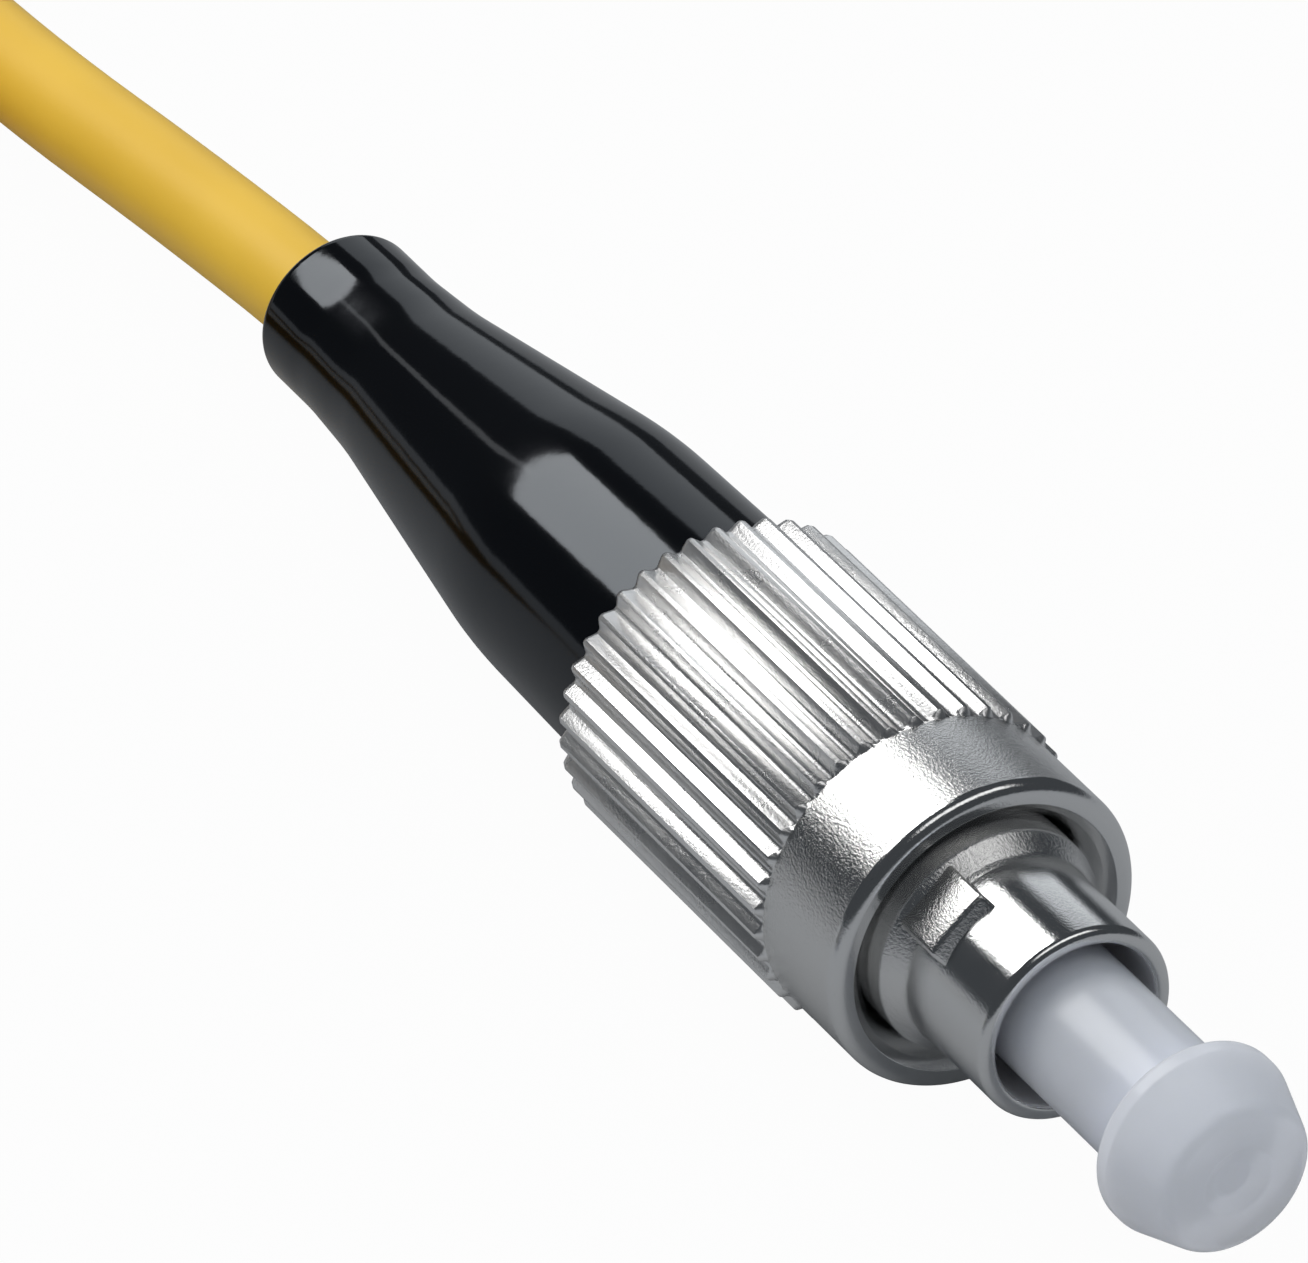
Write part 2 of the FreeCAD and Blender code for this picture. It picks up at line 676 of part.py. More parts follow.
def lc_housing():
    """Square nose and body with a stepped bore for the ferrule, its spring and the rear body."""
    body = new_body("lc_housing")
    for name, size, front, length in (
        ("lc_nose", "lc_nose_size", "0", "lc_nose_length"),
        ("lc_block", "lc_body_size", "-lc_nose_length", "lc_body_length"),
    ):
        sketch = new_sketch(body, name, "YZ_Plane")
        sketch.setExpression("AttachmentOffset.Base.z", bound(front))
        half = f"{size} / 2"
        add_outline(sketch, [
            (f"-{half}", f"-{half}"), (half, f"-{half}"), (half, half), (f"-{half}", half)])
        pad = body.newObject("PartDesign::Pad", name + "_pad")
        pad.Profile = sketch
        pad.Reversed = True
        pad.setExpression("Length", bound(length))
        body.Tip = pad
        doc.recompute()
    block = body.Tip
    long_edges = [
        f"Edge{number}" for number, edge in enumerate(block.Shape.Edges, 1)
        if abs(edge.Vertexes[0].X - edge.Vertexes[-1].X) > value("lc_nose_length") / 2
    ]
    fillet = body.newObject("PartDesign::Fillet", "lc_housing_round")
    fillet.Base = (block, long_edges)
    fillet.setExpression("Radius", bound("lc_edge_round"))
    body.Tip = fillet
    doc.recompute()
    bore = new_sketch(body, "lc_bore", "XY_Plane")
    add_outline(bore, [
        ("lc_mouth_depth", "0"),
        ("lc_mouth_depth", "lc_mouth_diameter / 2"),
        ("lc_seat_front", "lc_mouth_diameter / 2"),
        ("lc_seat_front", "lc_seat_bore / 2"),
        ("lc_seat_rear", "lc_seat_bore / 2"),
        ("lc_seat_rear", "lc_chamber_diameter / 2"),
        ("lc_body_rear - lc_mouth_depth", "lc_chamber_diameter / 2"),
        ("lc_body_rear - lc_mouth_depth", "0"),
    ])
    groove = body.newObject("PartDesign::Groove", "lc_bore_cut")
    groove.Profile = bore
    groove.ReferenceAxis = (bore, ["H_Axis"])
    groove.Angle = 360
    body.Tip = groove
    doc.recompute()
    return body


def lever(name, parts):
    """A bent lever: side outlines on the XZ plane, each padded evenly about it to its own width."""
    body = new_body(name)
    for number, (points, width) in enumerate(parts):
        sketch = new_sketch(body, f"{name}_side{number}", "XZ_Plane")
        add_outline(sketch, points)
        pad = body.newObject("PartDesign::Pad", f"{name}_pad{number}")
        pad.Profile = sketch
        pad.Midplane = True
        pad.setExpression("Length", bound(width))
        body.Tip = pad
        doc.recompute()
    return body


def lc_latch():
    slope = "lc_latch_rise / lc_latch_reach"
    ear_front = "lc_latch_ear_setback"
    ear_rear = "lc_latch_ear_setback + lc_latch_ear_length"
    arm = [
        ("-lc_latch_root", "latch_root_z"),
        ("-lc_latch_root", "latch_root_z + lc_latch_thickness"),
        ("latch_end_x", "latch_end_z + lc_latch_thickness"),
        ("latch_end_x", "latch_end_z"),
    ]
    ear = [
        (f"-lc_latch_root - {distance}", f"latch_root_z + ({distance}) * {slope} + {lift}")
        for distance, lift in (
            (ear_front, "0"), (ear_front, "lc_latch_thickness"),
            (ear_rear, "lc_latch_thickness"), (ear_rear, "0"))
    ]
    return lever("lc_latch", [(arm, "lc_latch_width"), (ear, "lc_latch_ear_width")])


def lc_trigger():
    arm = [
        ("trigger_root_x", "trigger_root_z"),
        ("trigger_root_x", "trigger_root_z + lc_trigger_thickness"),
        ("trigger_tip_x - lc_trigger_lip", "trigger_tip_z + lc_trigger_thickness"),
        ("trigger_tip_x", "trigger_tip_z + lc_trigger_thickness"),
        ("trigger_tip_x", "trigger_tip_z"),
        ("trigger_tip_x - lc_trigger_lip", "trigger_tip_z"),
        ("trigger_root_x + lc_trigger_thickness", "trigger_root_z"),
    ]
    return lever("lc_trigger", [(arm, "lc_trigger_width")])


def lc_boot():
    return turned("lc_boot", [
        ("lc_stop_rear", "lc_crimp_radius + fit_clearance"),
        ("lc_stop_rear", "lc_boot_front_radius"),
        ("lc_stop_rear - lc_boot_socket_length", "lc_boot_front_radius"),
        ("lc_boot_rear", "lc_boot_rear_radius"),
        ("lc_boot_rear", "boot_bore"),
        ("lc_crimp_rear - fit_clearance", "boot_bore"),
        ("lc_crimp_rear - fit_clearance", "lc_crimp_radius + fit_clearance"),
    ])


def lc_dust_cap():
    return turned("lc_dust_cap", [
        ("lc_cap_rear", "lc_cap_bore"),
        ("lc_cap_rear", "lc_cap_radius"),
        ("lc_cap_shoulder", "lc_cap_radius"),
        ("lc_cap_shoulder", "lc_cap_head_radius"),
        ("lc_cap_front", "lc_cap_radius"),
        ("lc_cap_front", "0"),
        ("lc_cap_bore_end", "0"),
        ("lc_cap_bore_end", "lc_cap_bore"),
    ])


def fibre(name, front, rear):
    """Buffered fibre from the ferrule holder to the end of the cable's jacket."""
    return turned(name, [(rear, "0"), (rear, "fibre_radius"), (front, "fibre_radius"), (front, "0")])


def tie_band(name, grow):
    """A band round the section of the coil, on the side away from the plugs."""
    body = new_body(name)
    sketch = new_sketch(body, name + "_loop", "XZ_Plane")
    for inset in (f"-{grow}", "tie_thickness"):
        add_outline(sketch, [
            (f"-coil_outer + ({inset})", inset),
            (f"-coil_inner - ({inset})", inset),
            (f"-coil_inner - ({inset})", f"coil_height - ({inset})"),
            (f"-coil_outer + ({inset})", f"coil_height - ({inset})"),
        ])
    pad = body.newObject("PartDesign::Pad", name + "_pad")
    pad.Profile = sketch
    pad.Midplane = True
    pad.setExpression("Length", bound("tie_width"))
    body.Tip = pad
    place_coil(body)
    return body


def place_coil(body):
    body.setExpression("Placement.Base.x", bound("coil_x"))
    body.setExpression("Placement.Base.y", bound("coil_y"))


def cable_coil():
    """Outer form of the coiled cable, pinched where the tie goes round it."""
    ring = new_body("coil_ring")
    sketch = new_sketch(ring, "coil_section", "XZ_Plane")
    add_outline(sketch, [
        ("coil_inner", "0"), ("coil_outer", "0"),
        ("coil_outer", "coil_height"), ("coil_inner", "coil_height")])
    turn = ring.newObject("PartDesign::Revolution", "coil_turn")
    turn.Profile = sketch
    turn.ReferenceAxis = (sketch, ["V_Axis"])
    turn.Angle = 360
    doc.recompute()
    chamfer = ring.newObject("PartDesign::Chamfer", "coil_chamfer")
    chamfer.Base = (turn, [f"Edge{number}" for number, edge in enumerate(turn.Shape.Edges, 1)
                           if isinstance(edge.Curve, Part.Circle)])
    chamfer.setExpression("Size", bound("coil_edge_chamfer"))
    ring.Tip = chamfer
    place_coil(ring)
    cut = doc.addObject("Part::Cut", "cable_coil")
    cut.Base = ring
    cut.Tool = tie_band("coil_pinch", "tie_thickness")
    return cut


def cord_path(points):
    """Straight runs with a tangent arc at each inner point, as large as its two runs allow."""
    arc_share = 0.45
    edges = []
    start = points[0]
    for before, corner, after in zip(points, points[1:], points[2:]):
        back = before - corner
        ahead = after - corner
        half_turn = (math.pi - back.getAngle(ahead)) / 2
        reach = arc_share * min(back.Length, ahead.Length)
        radius = reach / math.tan(half_turn)
        print(f"cord radius {radius:.1f} mm")
        arc_start = corner + back.normalize() * reach
        arc_end = corner + ahead.normalize() * reach
        inward = (back + ahead).normalize()
        middle = corner + inward * (radius / math.cos(half_turn) - radius)
        edges.append(Part.LineSegment(start, arc_start).toShape())
        edges.append(Part.Arc(arc_start, middle, arc_end).toShape())
        start = arc_end
    edges.append(Part.LineSegment(start, points[-1]).toShape())
    return Part.Wire(edges)


def cord_tube(name, route):
    """A length of cable along a route of (x, y, z) expressions."""
    points = [Vector(*(value(text) for text in place)) for place in route]
    path = cord_path(points)
    radius = value("cable_radius")
    section = Part.Wire([Part.makeCircle(radius, points[0], points[1] - points[0])])
    tube = path.makePipeShell([section], True, True)
    expected = math.pi * radius ** 2 * path.Length
    print(f"{name}: length {path.Length:.1f} mm, volume {tube.Volume:.2f} against {expected:.2f}")
    if abs(tube.Volume - expected) > 0.01 * expected:
        raise RuntimeError(f"{name} doesn't fill its path")
    feature = doc.addObject("Part::Feature", name)
    feature.Shape = tube
    return feature


def cable_lead():
    """Cable from the FC crimp, out of the boot and down to the coil."""
    return cord_tube("cable_lead", [
        ("fc_nut_x + jacket_front", "0", "axis_height"),
        ("boot_exit", "0", "axis_height"),
        ("boot_exit + lead_first_bend * lead_run", "0", "axis_height - lead_first_drop * lead_drop"),
        ("boot_exit + lead_second_bend * lead_run", "0", "axis_height - lead_second_drop * lead_drop"),
        ("coil_entry_x", "coil_entry_y / 2", "cable_radius"),
        ("coil_x", "coil_entry_y", "cable_radius"),
    ])


def cable_tail():
    """Cable from the top of the coil to the LC crimp."""
    return cord_tube("cable_tail", [
        ("coil_x", "coil_exit_y", "coil_top"),
        ("coil_x + coil_exit_run", "coil_exit_y", "coil_top"),
        ("lc_tip_x + lc_boot_rear - tail_boot_run", "lc_y", "lc_axis_height"),
        ("lc_tip_x + lc_jacket_front", "lc_y", "lc_axis_height"),
    ])


fc_pieces = [
    coupling_nut(),
    retaining_ring(),
    plug_frame(),
    ferrule("fc_ferrule", "ferrule_tip", "ferrule_rear", "ferrule_diameter", "ferrule_chamfer"),
    ferrule_holder("fc"),
    coil_spring("fc_spring", "spigot_front", "holder_rear",
                "spring_radius", "spring_wire", "spring_turns"),
    fc_rear_body(),
    yarn_layer("fc_strength_yarn", "hub_rear", "post_rear", "post_radius", "yarn_radius"),
    crimp_sleeve("fc_crimp_sleeve", "hub_rear", "jacket_front", "crimp_rear",
                 "yarn_radius", "crimp_radius"),
    fc_boot(),
    fc_dust_cap(),
    fibre("fc_fibre", "fibre_front", "jacket_front"),
]
for piece in fc_pieces:
    place_fc(piece)

lc_pieces = [
    lc_housing(),
    lc_latch(),
    lc_trigger(),
    ferrule("lc_ferrule", "lc_ferrule_reach", "lc_ferrule_rear",
            "lc_ferrule_diameter", "lc_ferrule_chamfer"),
    ferrule_holder("lc"),
    coil_spring("lc_spring", "lc_spigot_front", "lc_holder_rear",
                "lc_spring_radius", "lc_spring_wire", "lc_spring_turns"),
    lc_rear_body(),
    yarn_layer("lc_strength_yarn", "lc_stop_rear", "lc_post_rear",
               "lc_post_radius", "lc_yarn_radius"),
    crimp_sleeve("lc_crimp_sleeve", "lc_stop_rear", "lc_jacket_front", "lc_crimp_rear",
                 "lc_yarn_radius", "lc_crimp_radius"),
    lc_boot(),
    lc_dust_cap(),
    fibre("lc_fibre", "lc_fibre_front", "lc_jacket_front"),
]
for piece in lc_pieces:
    place_lc(piece)

cord_pieces = [cable_lead(), cable_tail(), cable_coil(), tie_band("coil_tie", "0")]
doc.recompute()

pieces = fc_pieces + lc_pieces + cord_pieces
for item in doc.Objects:
    if {"Invalid", "Error"} & set(item.State):
        raise RuntimeError(f"{item.Name} failed: {item.State}")
for piece in pieces:
    piece.Label = piece.Name
    if piece.Shape.isNull() or not piece.Shape.isValid() or len(piece.Shape.Solids) != 1:
        raise RuntimeError(f"{piece.Label} isn't one valid solid")

os.makedirs("parts", exist_ok=True)
for piece in pieces:
    piece.Shape.exportStep(f"parts/{piece.Label}.step")
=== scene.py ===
import math

import bpy
from mathutils import Matrix, Vector


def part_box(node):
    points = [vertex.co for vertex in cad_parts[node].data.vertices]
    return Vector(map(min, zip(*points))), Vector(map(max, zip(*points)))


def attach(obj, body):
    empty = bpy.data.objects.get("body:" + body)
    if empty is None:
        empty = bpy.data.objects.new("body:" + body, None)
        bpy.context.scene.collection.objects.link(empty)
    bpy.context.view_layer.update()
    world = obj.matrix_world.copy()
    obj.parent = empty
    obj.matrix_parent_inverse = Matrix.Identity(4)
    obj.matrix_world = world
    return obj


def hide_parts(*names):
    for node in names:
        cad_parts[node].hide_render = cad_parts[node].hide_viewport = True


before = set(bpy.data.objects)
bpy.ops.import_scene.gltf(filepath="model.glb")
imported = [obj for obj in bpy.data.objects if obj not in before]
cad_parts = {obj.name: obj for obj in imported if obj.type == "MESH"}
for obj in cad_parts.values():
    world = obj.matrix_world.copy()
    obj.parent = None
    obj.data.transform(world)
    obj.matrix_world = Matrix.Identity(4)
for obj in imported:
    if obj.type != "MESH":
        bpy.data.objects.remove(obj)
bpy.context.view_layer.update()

# Studio: a pale table top in a dim room, a large soft box above the cable end, a grey panel behind
# the far side, a long one over the dust cap and a narrow strip of light under the soft box. The
# camera looks down the plug from in front of it, from the side that the key faces.
studio = bpy.context.scene
studio.view_settings.view_transform = "Standard"


def add_node(tree, kind, sockets=(), **settings):
    """Add a shader node and give its sockets values, or links from other nodes' sockets."""
    made = tree.nodes.new(kind)
    for name, setting in settings.items():
        setattr(made, name, setting)
    for name, given in dict(sockets).items():
        if isinstance(given, bpy.types.NodeSocket):
            tree.links.new(given, made.inputs[name])
        else:
            made.inputs[name].default_value = given
    return made


def ray_share(tree, lit, mirrored, seen):
    """A value for rays that light things, one for mirrors and one for what the camera sees."""
    rays = add_node(tree, "ShaderNodeLightPath").outputs
    through = add_node(tree, "ShaderNodeMath", {
        0: rays["Is Camera Ray"], 1: rays["Is Transmission Ray"]}, operation="MAXIMUM")
    unseen = add_node(tree, "ShaderNodeMix", {0: rays["Is Glossy Ray"], 2: lit, 3: mirrored})
    return add_node(tree, "ShaderNodeMix", {
        0: through.outputs[0], 2: unseen.outputs[0], 3: seen}).outputs[0]


room = bpy.data.worlds.new("studio_room")
room.use_nodes = True
tree = room.node_tree
tree.nodes.clear()
room_tone = add_node(tree, "ShaderNodeMix", {
    0: ray_share(tree, lit=0.0, mirrored=0.0, seen=1.0),
    6: (0.82, 0.90, 1, 1), 7: (1, 1, 1, 1)}, data_type="RGBA")
room_glow = add_node(tree, "ShaderNodeBackground", {
    "Color": room_tone.outputs[2],
    "Strength": ray_share(tree, lit=0.50, mirrored=0.065, seen=1.0)})
add_node(tree, "ShaderNodeOutputWorld", {"Surface": room_glow.outputs[0]})
studio.world = room

table_width = 3
bpy.ops.object.select_all(action="DESELECT")
bpy.ops.mesh.primitive_plane_add(size=table_width)
table = bpy.context.object
table.name = "table_top"
table_paint = bpy.data.materials.new("table_white")
table_paint.use_nodes = True
tree = table_paint.node_tree
tree.nodes.clear()
matt = add_node(tree, "ShaderNodeBsdfDiffuse", {"Color": (0.37, 0.37, 0.37, 1)})
paper = add_node(tree, "ShaderNodeEmission", {"Color": (1, 1, 1, 1), "Strength": 1})
mixed = add_node(tree, "ShaderNodeMixShader", {
    "Fac": ray_share(tree, lit=0.25, mirrored=0.0, seen=0.97),
    1: matt.outputs[0], 2: paper.outputs[0]})
add_node(tree, "ShaderNodeOutputMaterial", {"Surface": mixed.outputs[0]})
table.data.materials.append(table_paint)


def soft_box(name, away, along, width, height, glow, tint=(1, 1, 1)):
    """A lamp that faces the plug from one direction, its width laid along another."""
    facing = Vector(away).normalized()
    side = Vector(along)
    side = (side - facing * side.dot(facing)).normalized()
    bpy.ops.object.light_add(type="AREA", location=plug_middle + facing * lamp_distance)
    box = bpy.context.object
    box.name = name
    box.rotation_euler = Matrix((side, facing.cross(side), facing)).transposed().to_euler()
    box.data.shape = "RECTANGLE"
    box.data.size = width
    box.data.size_y = height
    box.data.energy = glow * math.pi * width * height
    box.data.color = tint


plug_middle = Vector((0, 0, 0.005))
lamp_distance = 0.6
soft_box("soft_box_above", away=(-0.6125, -0.23, 0.757), along=(0.009, 0.954, 0.30),
         width=0.43, height=0.335, glow=4.3)
soft_box("panel_behind", away=(-0.788, 0.502, 0.358), along=(0.083, 0.657, -0.738),
         width=0.28, height=0.36, glow=0.74, tint=(0.92, 0.96, 1.0))
soft_box("strip_below", away=(-0.85, -0.20, 0.49), along=(0.55, -0.14, 0.82),
         width=0.13, height=0.03, glow=0.8)
soft_box("panel_ahead", away=(0.40, 0.22, 0.89), along=(-0.20, 0.90, -0.14),
         width=0.64, height=0.20, glow=1.15)

sight_height = math.radians(35.77)
sight_turn = math.radians(-31.12)
sight_distance = 0.4306
sight_aim = Vector((-0.0043, -0.0010, 0.0059))
sight = Vector((math.cos(sight_height) * math.cos(sight_turn),
                math.cos(sight_height) * math.sin(sight_turn), math.sin(sight_height)))
bpy.ops.object.camera_add(location=sight_aim + sight * sight_distance)
camera = bpy.context.object
camera.name = "camera"
camera.rotation_euler = (-sight).to_track_quat("-Z", "Y").to_euler()
camera.data.sensor_width = 36
camera.data.lens = 433.8
camera.data.clip_start = 0.01
camera.data.dof.use_dof = False
studio.camera = camera

# Cable: one buffered fibre and its yarn in a soft yellow PVC jacket, extruded 3 mm thick, with a
# satin skin. It leaves the boot in a low sweep, is wound in a tied coil and ends in the LC plug.
mm = 0.001
cable_diameter = 3.0
lead_points = [(-11.7, 0, 5), (-21.9, 0, 5), (-31.51, 0, 3.93), (-41.49, 0, 2.45),
               (-50.5, 0.4, 1.5), (-58, 0.8, 1.5)]
tail_points = [(-58, -44.2, 4.5), (-46.4, -44.2, 4.5), (-24.6, -40.5, 2.6), (-3.0, -40.5, 2.6)]
coil_middle = Vector((-58, -21.7, 3.0))
coil_mean_radius = 18.0
coil_radii = [22.5, 19.5, 16.5, 13.5, 13.5, 16.5, 19.5, 22.5]
coil_layers = [1.5, 1.5, 1.5, 1.5, 4.5, 4.5, 4.5, 4.5]
coil_turns = 7.5
points_per_turn = 20
change_share = 0.3
coil_start = math.radians(90)
tie_squeeze = 0.22
tie_squeeze_across = 0.7
tie_nearness = 30
points_left_out = 2

coil_points = []
for step in range(points_left_out, int(coil_turns * points_per_turn) - 1):
    turn = int(step / points_per_turn)
    along = step / points_per_turn - turn
    change = min(1, along / change_share) if turn else 1
    change = change * change * (3 - 2 * change)
    before = max(0, turn - 1)
    radius = coil_radii[before] + (coil_radii[turn] - coil_radii[before]) * change
    layer = coil_layers[before] + (coil_layers[turn] - coil_layers[before]) * change
    angle = coil_start + math.tau * along
    held = tie_squeeze * max(0, -math.cos(angle)) ** tie_nearness
    radius = coil_mean_radius + (radius - coil_mean_radius) * (1 - tie_squeeze_across * held)
    radius /= math.cos(math.pi / points_per_turn)
    layer = coil_middle.z + (layer - coil_middle.z) * (1 - held)
    coil_points.append((coil_middle.x + radius * math.cos(angle),
                        coil_middle.y + radius * math.sin(angle), layer))

cable_line = bpy.data.curves.new("cable", "CURVE")
cable_line.dimensions = "3D"
run = cable_line.splines.new("NURBS")
route = lead_points + coil_points + tail_points
run.points.add(len(route) - 1)
for point, place in zip(run.points, route):
    point.co = (*(Vector(place) * mm), 1)
run.order_u = 3
run.use_endpoint_u = True
run.resolution_u = 6
cable_line.bevel_depth = cable_diameter / 2 * mm
cable_line.bevel_resolution = 7
cable_line.use_fill_caps = True
cable = bpy.data.objects.new("cable", cable_line)
cable.visible_glossy = False
studio.collection.objects.link(cable)

# skin_texture: the grain, cloudy tone and stray dust that moulded and extruded plastics share.
fleck_size = 0.055
fleck_chance = 0.82
cloud_low, cloud_high = 0.3, 0.7
skin = bpy.data.node_groups.new("skin_texture", "ShaderNodeTree")
for name in ("Grain", "Cloud", "Dust"):
    skin.interface.new_socket(name, in_out="INPUT", socket_type="NodeSocketFloat")
    skin.interface.new_socket(name, in_out="OUTPUT", socket_type="NodeSocketFloat")
given = add_node(skin, "NodeGroupInput").outputs
place = add_node(skin, "ShaderNodeTexCoord").outputs["Object"]
grain = add_node(skin, "ShaderNodeTexNoise", {
    "Vector": place, "Scale": given["Grain"], "Detail": 3, "Roughness": 0.5})
cloud = add_node(skin, "ShaderNodeTexNoise", {
    "Vector": place, "Scale": given["Cloud"], "Detail": 2, "Roughness": 0.55})
flecks = add_node(skin, "ShaderNodeTexVoronoi", {
    "Vector": place, "Scale": given["Dust"], "Randomness": 1})
small = add_node(skin, "ShaderNodeMath", {
    0: flecks.outputs["Distance"], 1: fleck_size}, operation="LESS_THAN")
chance = add_node(skin, "ShaderNodeSeparateColor", {"Color": flecks.outputs["Color"]})
few = add_node(skin, "ShaderNodeMath", {
    0: chance.outputs[0], 1: fleck_chance}, operation="GREATER_THAN")
dust = add_node(skin, "ShaderNodeMath", {
    0: small.outputs[0], 1: few.outputs[0]}, operation="MULTIPLY")
add_node(skin, "NodeGroupOutput", {
    "Grain": grain.outputs["Fac"], "Cloud": cloud.outputs["Fac"], "Dust": dust.outputs[0]})


def plastic(name, tone, shade, dull, shiny, grain_size, grain_depth, cloud_size,
            dust_size, dust_tone):
    """A plastic that varies from tone to shade and from dull to shiny, with grain and some dust."""
    made = bpy.data.materials.new(name)
    made.use_nodes = True
    tree = made.node_tree
    shader = tree.nodes["Principled BSDF"]
    texture = add_node(tree, "ShaderNodeGroup", node_tree=skin)
    texture.inputs["Grain"].default_value = 1 / (grain_size * mm)
    texture.inputs["Cloud"].default_value = 1 / (cloud_size * mm)
    texture.inputs["Dust"].default_value = 1 / (dust_size * mm)
    spread = add_node(tree, "ShaderNodeMapRange", {
        "Value": texture.outputs["Cloud"], "From Min": cloud_low, "From Max": cloud_high})
    body_tone = add_node(tree, "ShaderNodeMix", {
        0: spread.outputs[0], 6: (*tone, 1), 7: (*shade, 1)}, data_type="RGBA")
    dusted = add_node(tree, "ShaderNodeMix", {
        0: texture.outputs["Dust"], 6: body_tone.outputs[2], 7: (*dust_tone, 1)},
        data_type="RGBA")
    gloss = add_node(tree, "ShaderNodeMapRange", {
        "Value": texture.outputs["Cloud"], "From Min": cloud_low, "From Max": cloud_high,
        "To Min": dull, "To Max": shiny})
    bump = add_node(tree, "ShaderNodeBump", {
        "Strength": 1, "Distance": grain_depth * mm, "Height": texture.outputs["Grain"]})
    tree.links.new(dusted.outputs[2], shader.inputs["Base Color"])
    tree.links.new(gloss.outputs[0], shader.inputs["Roughness"])
    tree.links.new(bump.outputs[0], shader.inputs["Normal"])
    return made


def sockets_of(finish):
    """The sockets of a finish's main shader."""
    return finish.node_tree.nodes["Principled BSDF"].inputs


jacket_yellow = plastic(
    "jacket_yellow", tone=(0.90, 0.55, 0.050), shade=(0.85, 0.51, 0.044),
    dull=0.50, shiny=0.42, grain_size=0.30, grain_depth=0.006,
    cloud_size=6.0, dust_size=3.0, dust_tone=(0.62, 0.44, 0.12))
sockets_of(jacket_yellow)["Specular IOR Level"].default_value = 0.4
cable.data.materials.append(jacket_yellow)
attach(cable, "cord")
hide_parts("cable_lead", "cable_coil", "cable_tail")

# Coil tie: a black strap of woven nylon, wrapped once round the coil's turns and closed on itself.
tie_low, tie_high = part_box("coil_tie")
tie_thickness = 0.6
tie_corner = 1.3
bpy.ops.object.select_all(action="DESELECT")
bpy.ops.mesh.primitive_cube_add(size=1, location=(tie_low + tie_high) / 2,
                                scale=tie_high - tie_low)
bpy.ops.object.transform_apply(location=True, rotation=True, scale=True)
tie = bpy.context.object
tie.name = "coil_strap"


def choose(piece, kind, test):
    """Enter edit mode with the points, edges or faces of the piece that pass a test selected."""
    bpy.ops.object.mode_set(mode="EDIT")
    bpy.ops.mesh.select_mode(type=kind)
    bpy.ops.mesh.select_all(action="DESELECT")
    bpy.ops.object.mode_set(mode="OBJECT")
    parts = {"VERT": piece.data.vertices, "EDGE": piece.data.edges, "FACE": piece.data.polygons}
    for part in parts[kind]:
        part.select = test(part)
    bpy.ops.object.mode_set(mode="EDIT")


def runs_along(piece, axis):
    """A test for edges of the piece that run along one axis."""
    def along(edge):
        start, end = (piece.data.vertices[number].co for number in edge.vertices)
        return abs((end - start).normalized()[axis]) > 0.99
    return along


def close_up(piece, smooth_angle=32):
    """Merge doubles, turn the faces outwards and shade the soft edges smooth."""
    bpy.ops.object.mode_set(mode="EDIT")
    bpy.ops.mesh.select_all(action="SELECT")
    bpy.ops.mesh.remove_doubles(threshold=1e-7)
    bpy.ops.mesh.normals_make_consistent(inside=False)
    bpy.ops.object.mode_set(mode="OBJECT")
    bpy.ops.object.shade_smooth_by_angle(angle=math.radians(smooth_angle))


choose(tie, "EDGE", runs_along(tie, 1))
bpy.ops.mesh.bevel(offset=tie_corner * mm, segments=6, affect="EDGES")
bpy.ops.object.mode_set(mode="OBJECT")
choose(tie, "FACE", lambda face: abs(face.normal.y) > 0.99)
bpy.ops.mesh.inset(thickness=tie_thickness * mm, use_individual=True)
bpy.ops.mesh.bridge_edge_loops()
close_up(tie, 35)

threads_across, threads_round = 420, 300
thread_height = 0.08
strap_nylon = bpy.data.materials.new("strap_nylon")
strap_nylon.use_nodes = True
tree = strap_nylon.node_tree
shader = tree.nodes["Principled BSDF"]
place = add_node(tree, "ShaderNodeTexCoord").outputs["Object"]
across = add_node(tree, "ShaderNodeTexWave", {
    "Vector": place, "Scale": threads_across, "Distortion": 0.4, "Detail": 1}, bands_direction="Y")
round_strap = add_node(tree, "ShaderNodeTexWave", {
    "Vector": place, "Scale": threads_round, "Distortion": 0.4, "Detail": 1},
    bands_direction="DIAGONAL")
weave = add_node(tree, "ShaderNodeMath", {
    0: across.outputs["Fac"], 1: round_strap.outputs["Fac"]}, operation="MULTIPLY")
weave_tone = add_node(tree, "ShaderNodeMix", {
    0: weave.outputs[0], 6: (0.008, 0.008, 0.009, 1), 7: (0.03, 0.03, 0.032, 1)},
    data_type="RGBA")
weave_bump = add_node(tree, "ShaderNodeBump", {
    "Strength": 0.8, "Distance": thread_height * mm, "Height": weave.outputs[0]})
tree.links.new(weave_tone.outputs[2], shader.inputs["Base Color"])
tree.links.new(weave_bump.outputs[0], shader.inputs["Normal"])
shader.inputs["Roughness"].default_value = 0.85
shader.inputs["Sheen Weight"].default_value = 0.25
tie.data.materials.append(strap_nylon)
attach(tie, "cord")
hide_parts("coil_tie")

# Ferrules: ground and polished sticks of white zirconia that hold the fibre, each with a turned
# lead-in at its tip. The FC one is 2.5 mm thick, the LC one half of that.


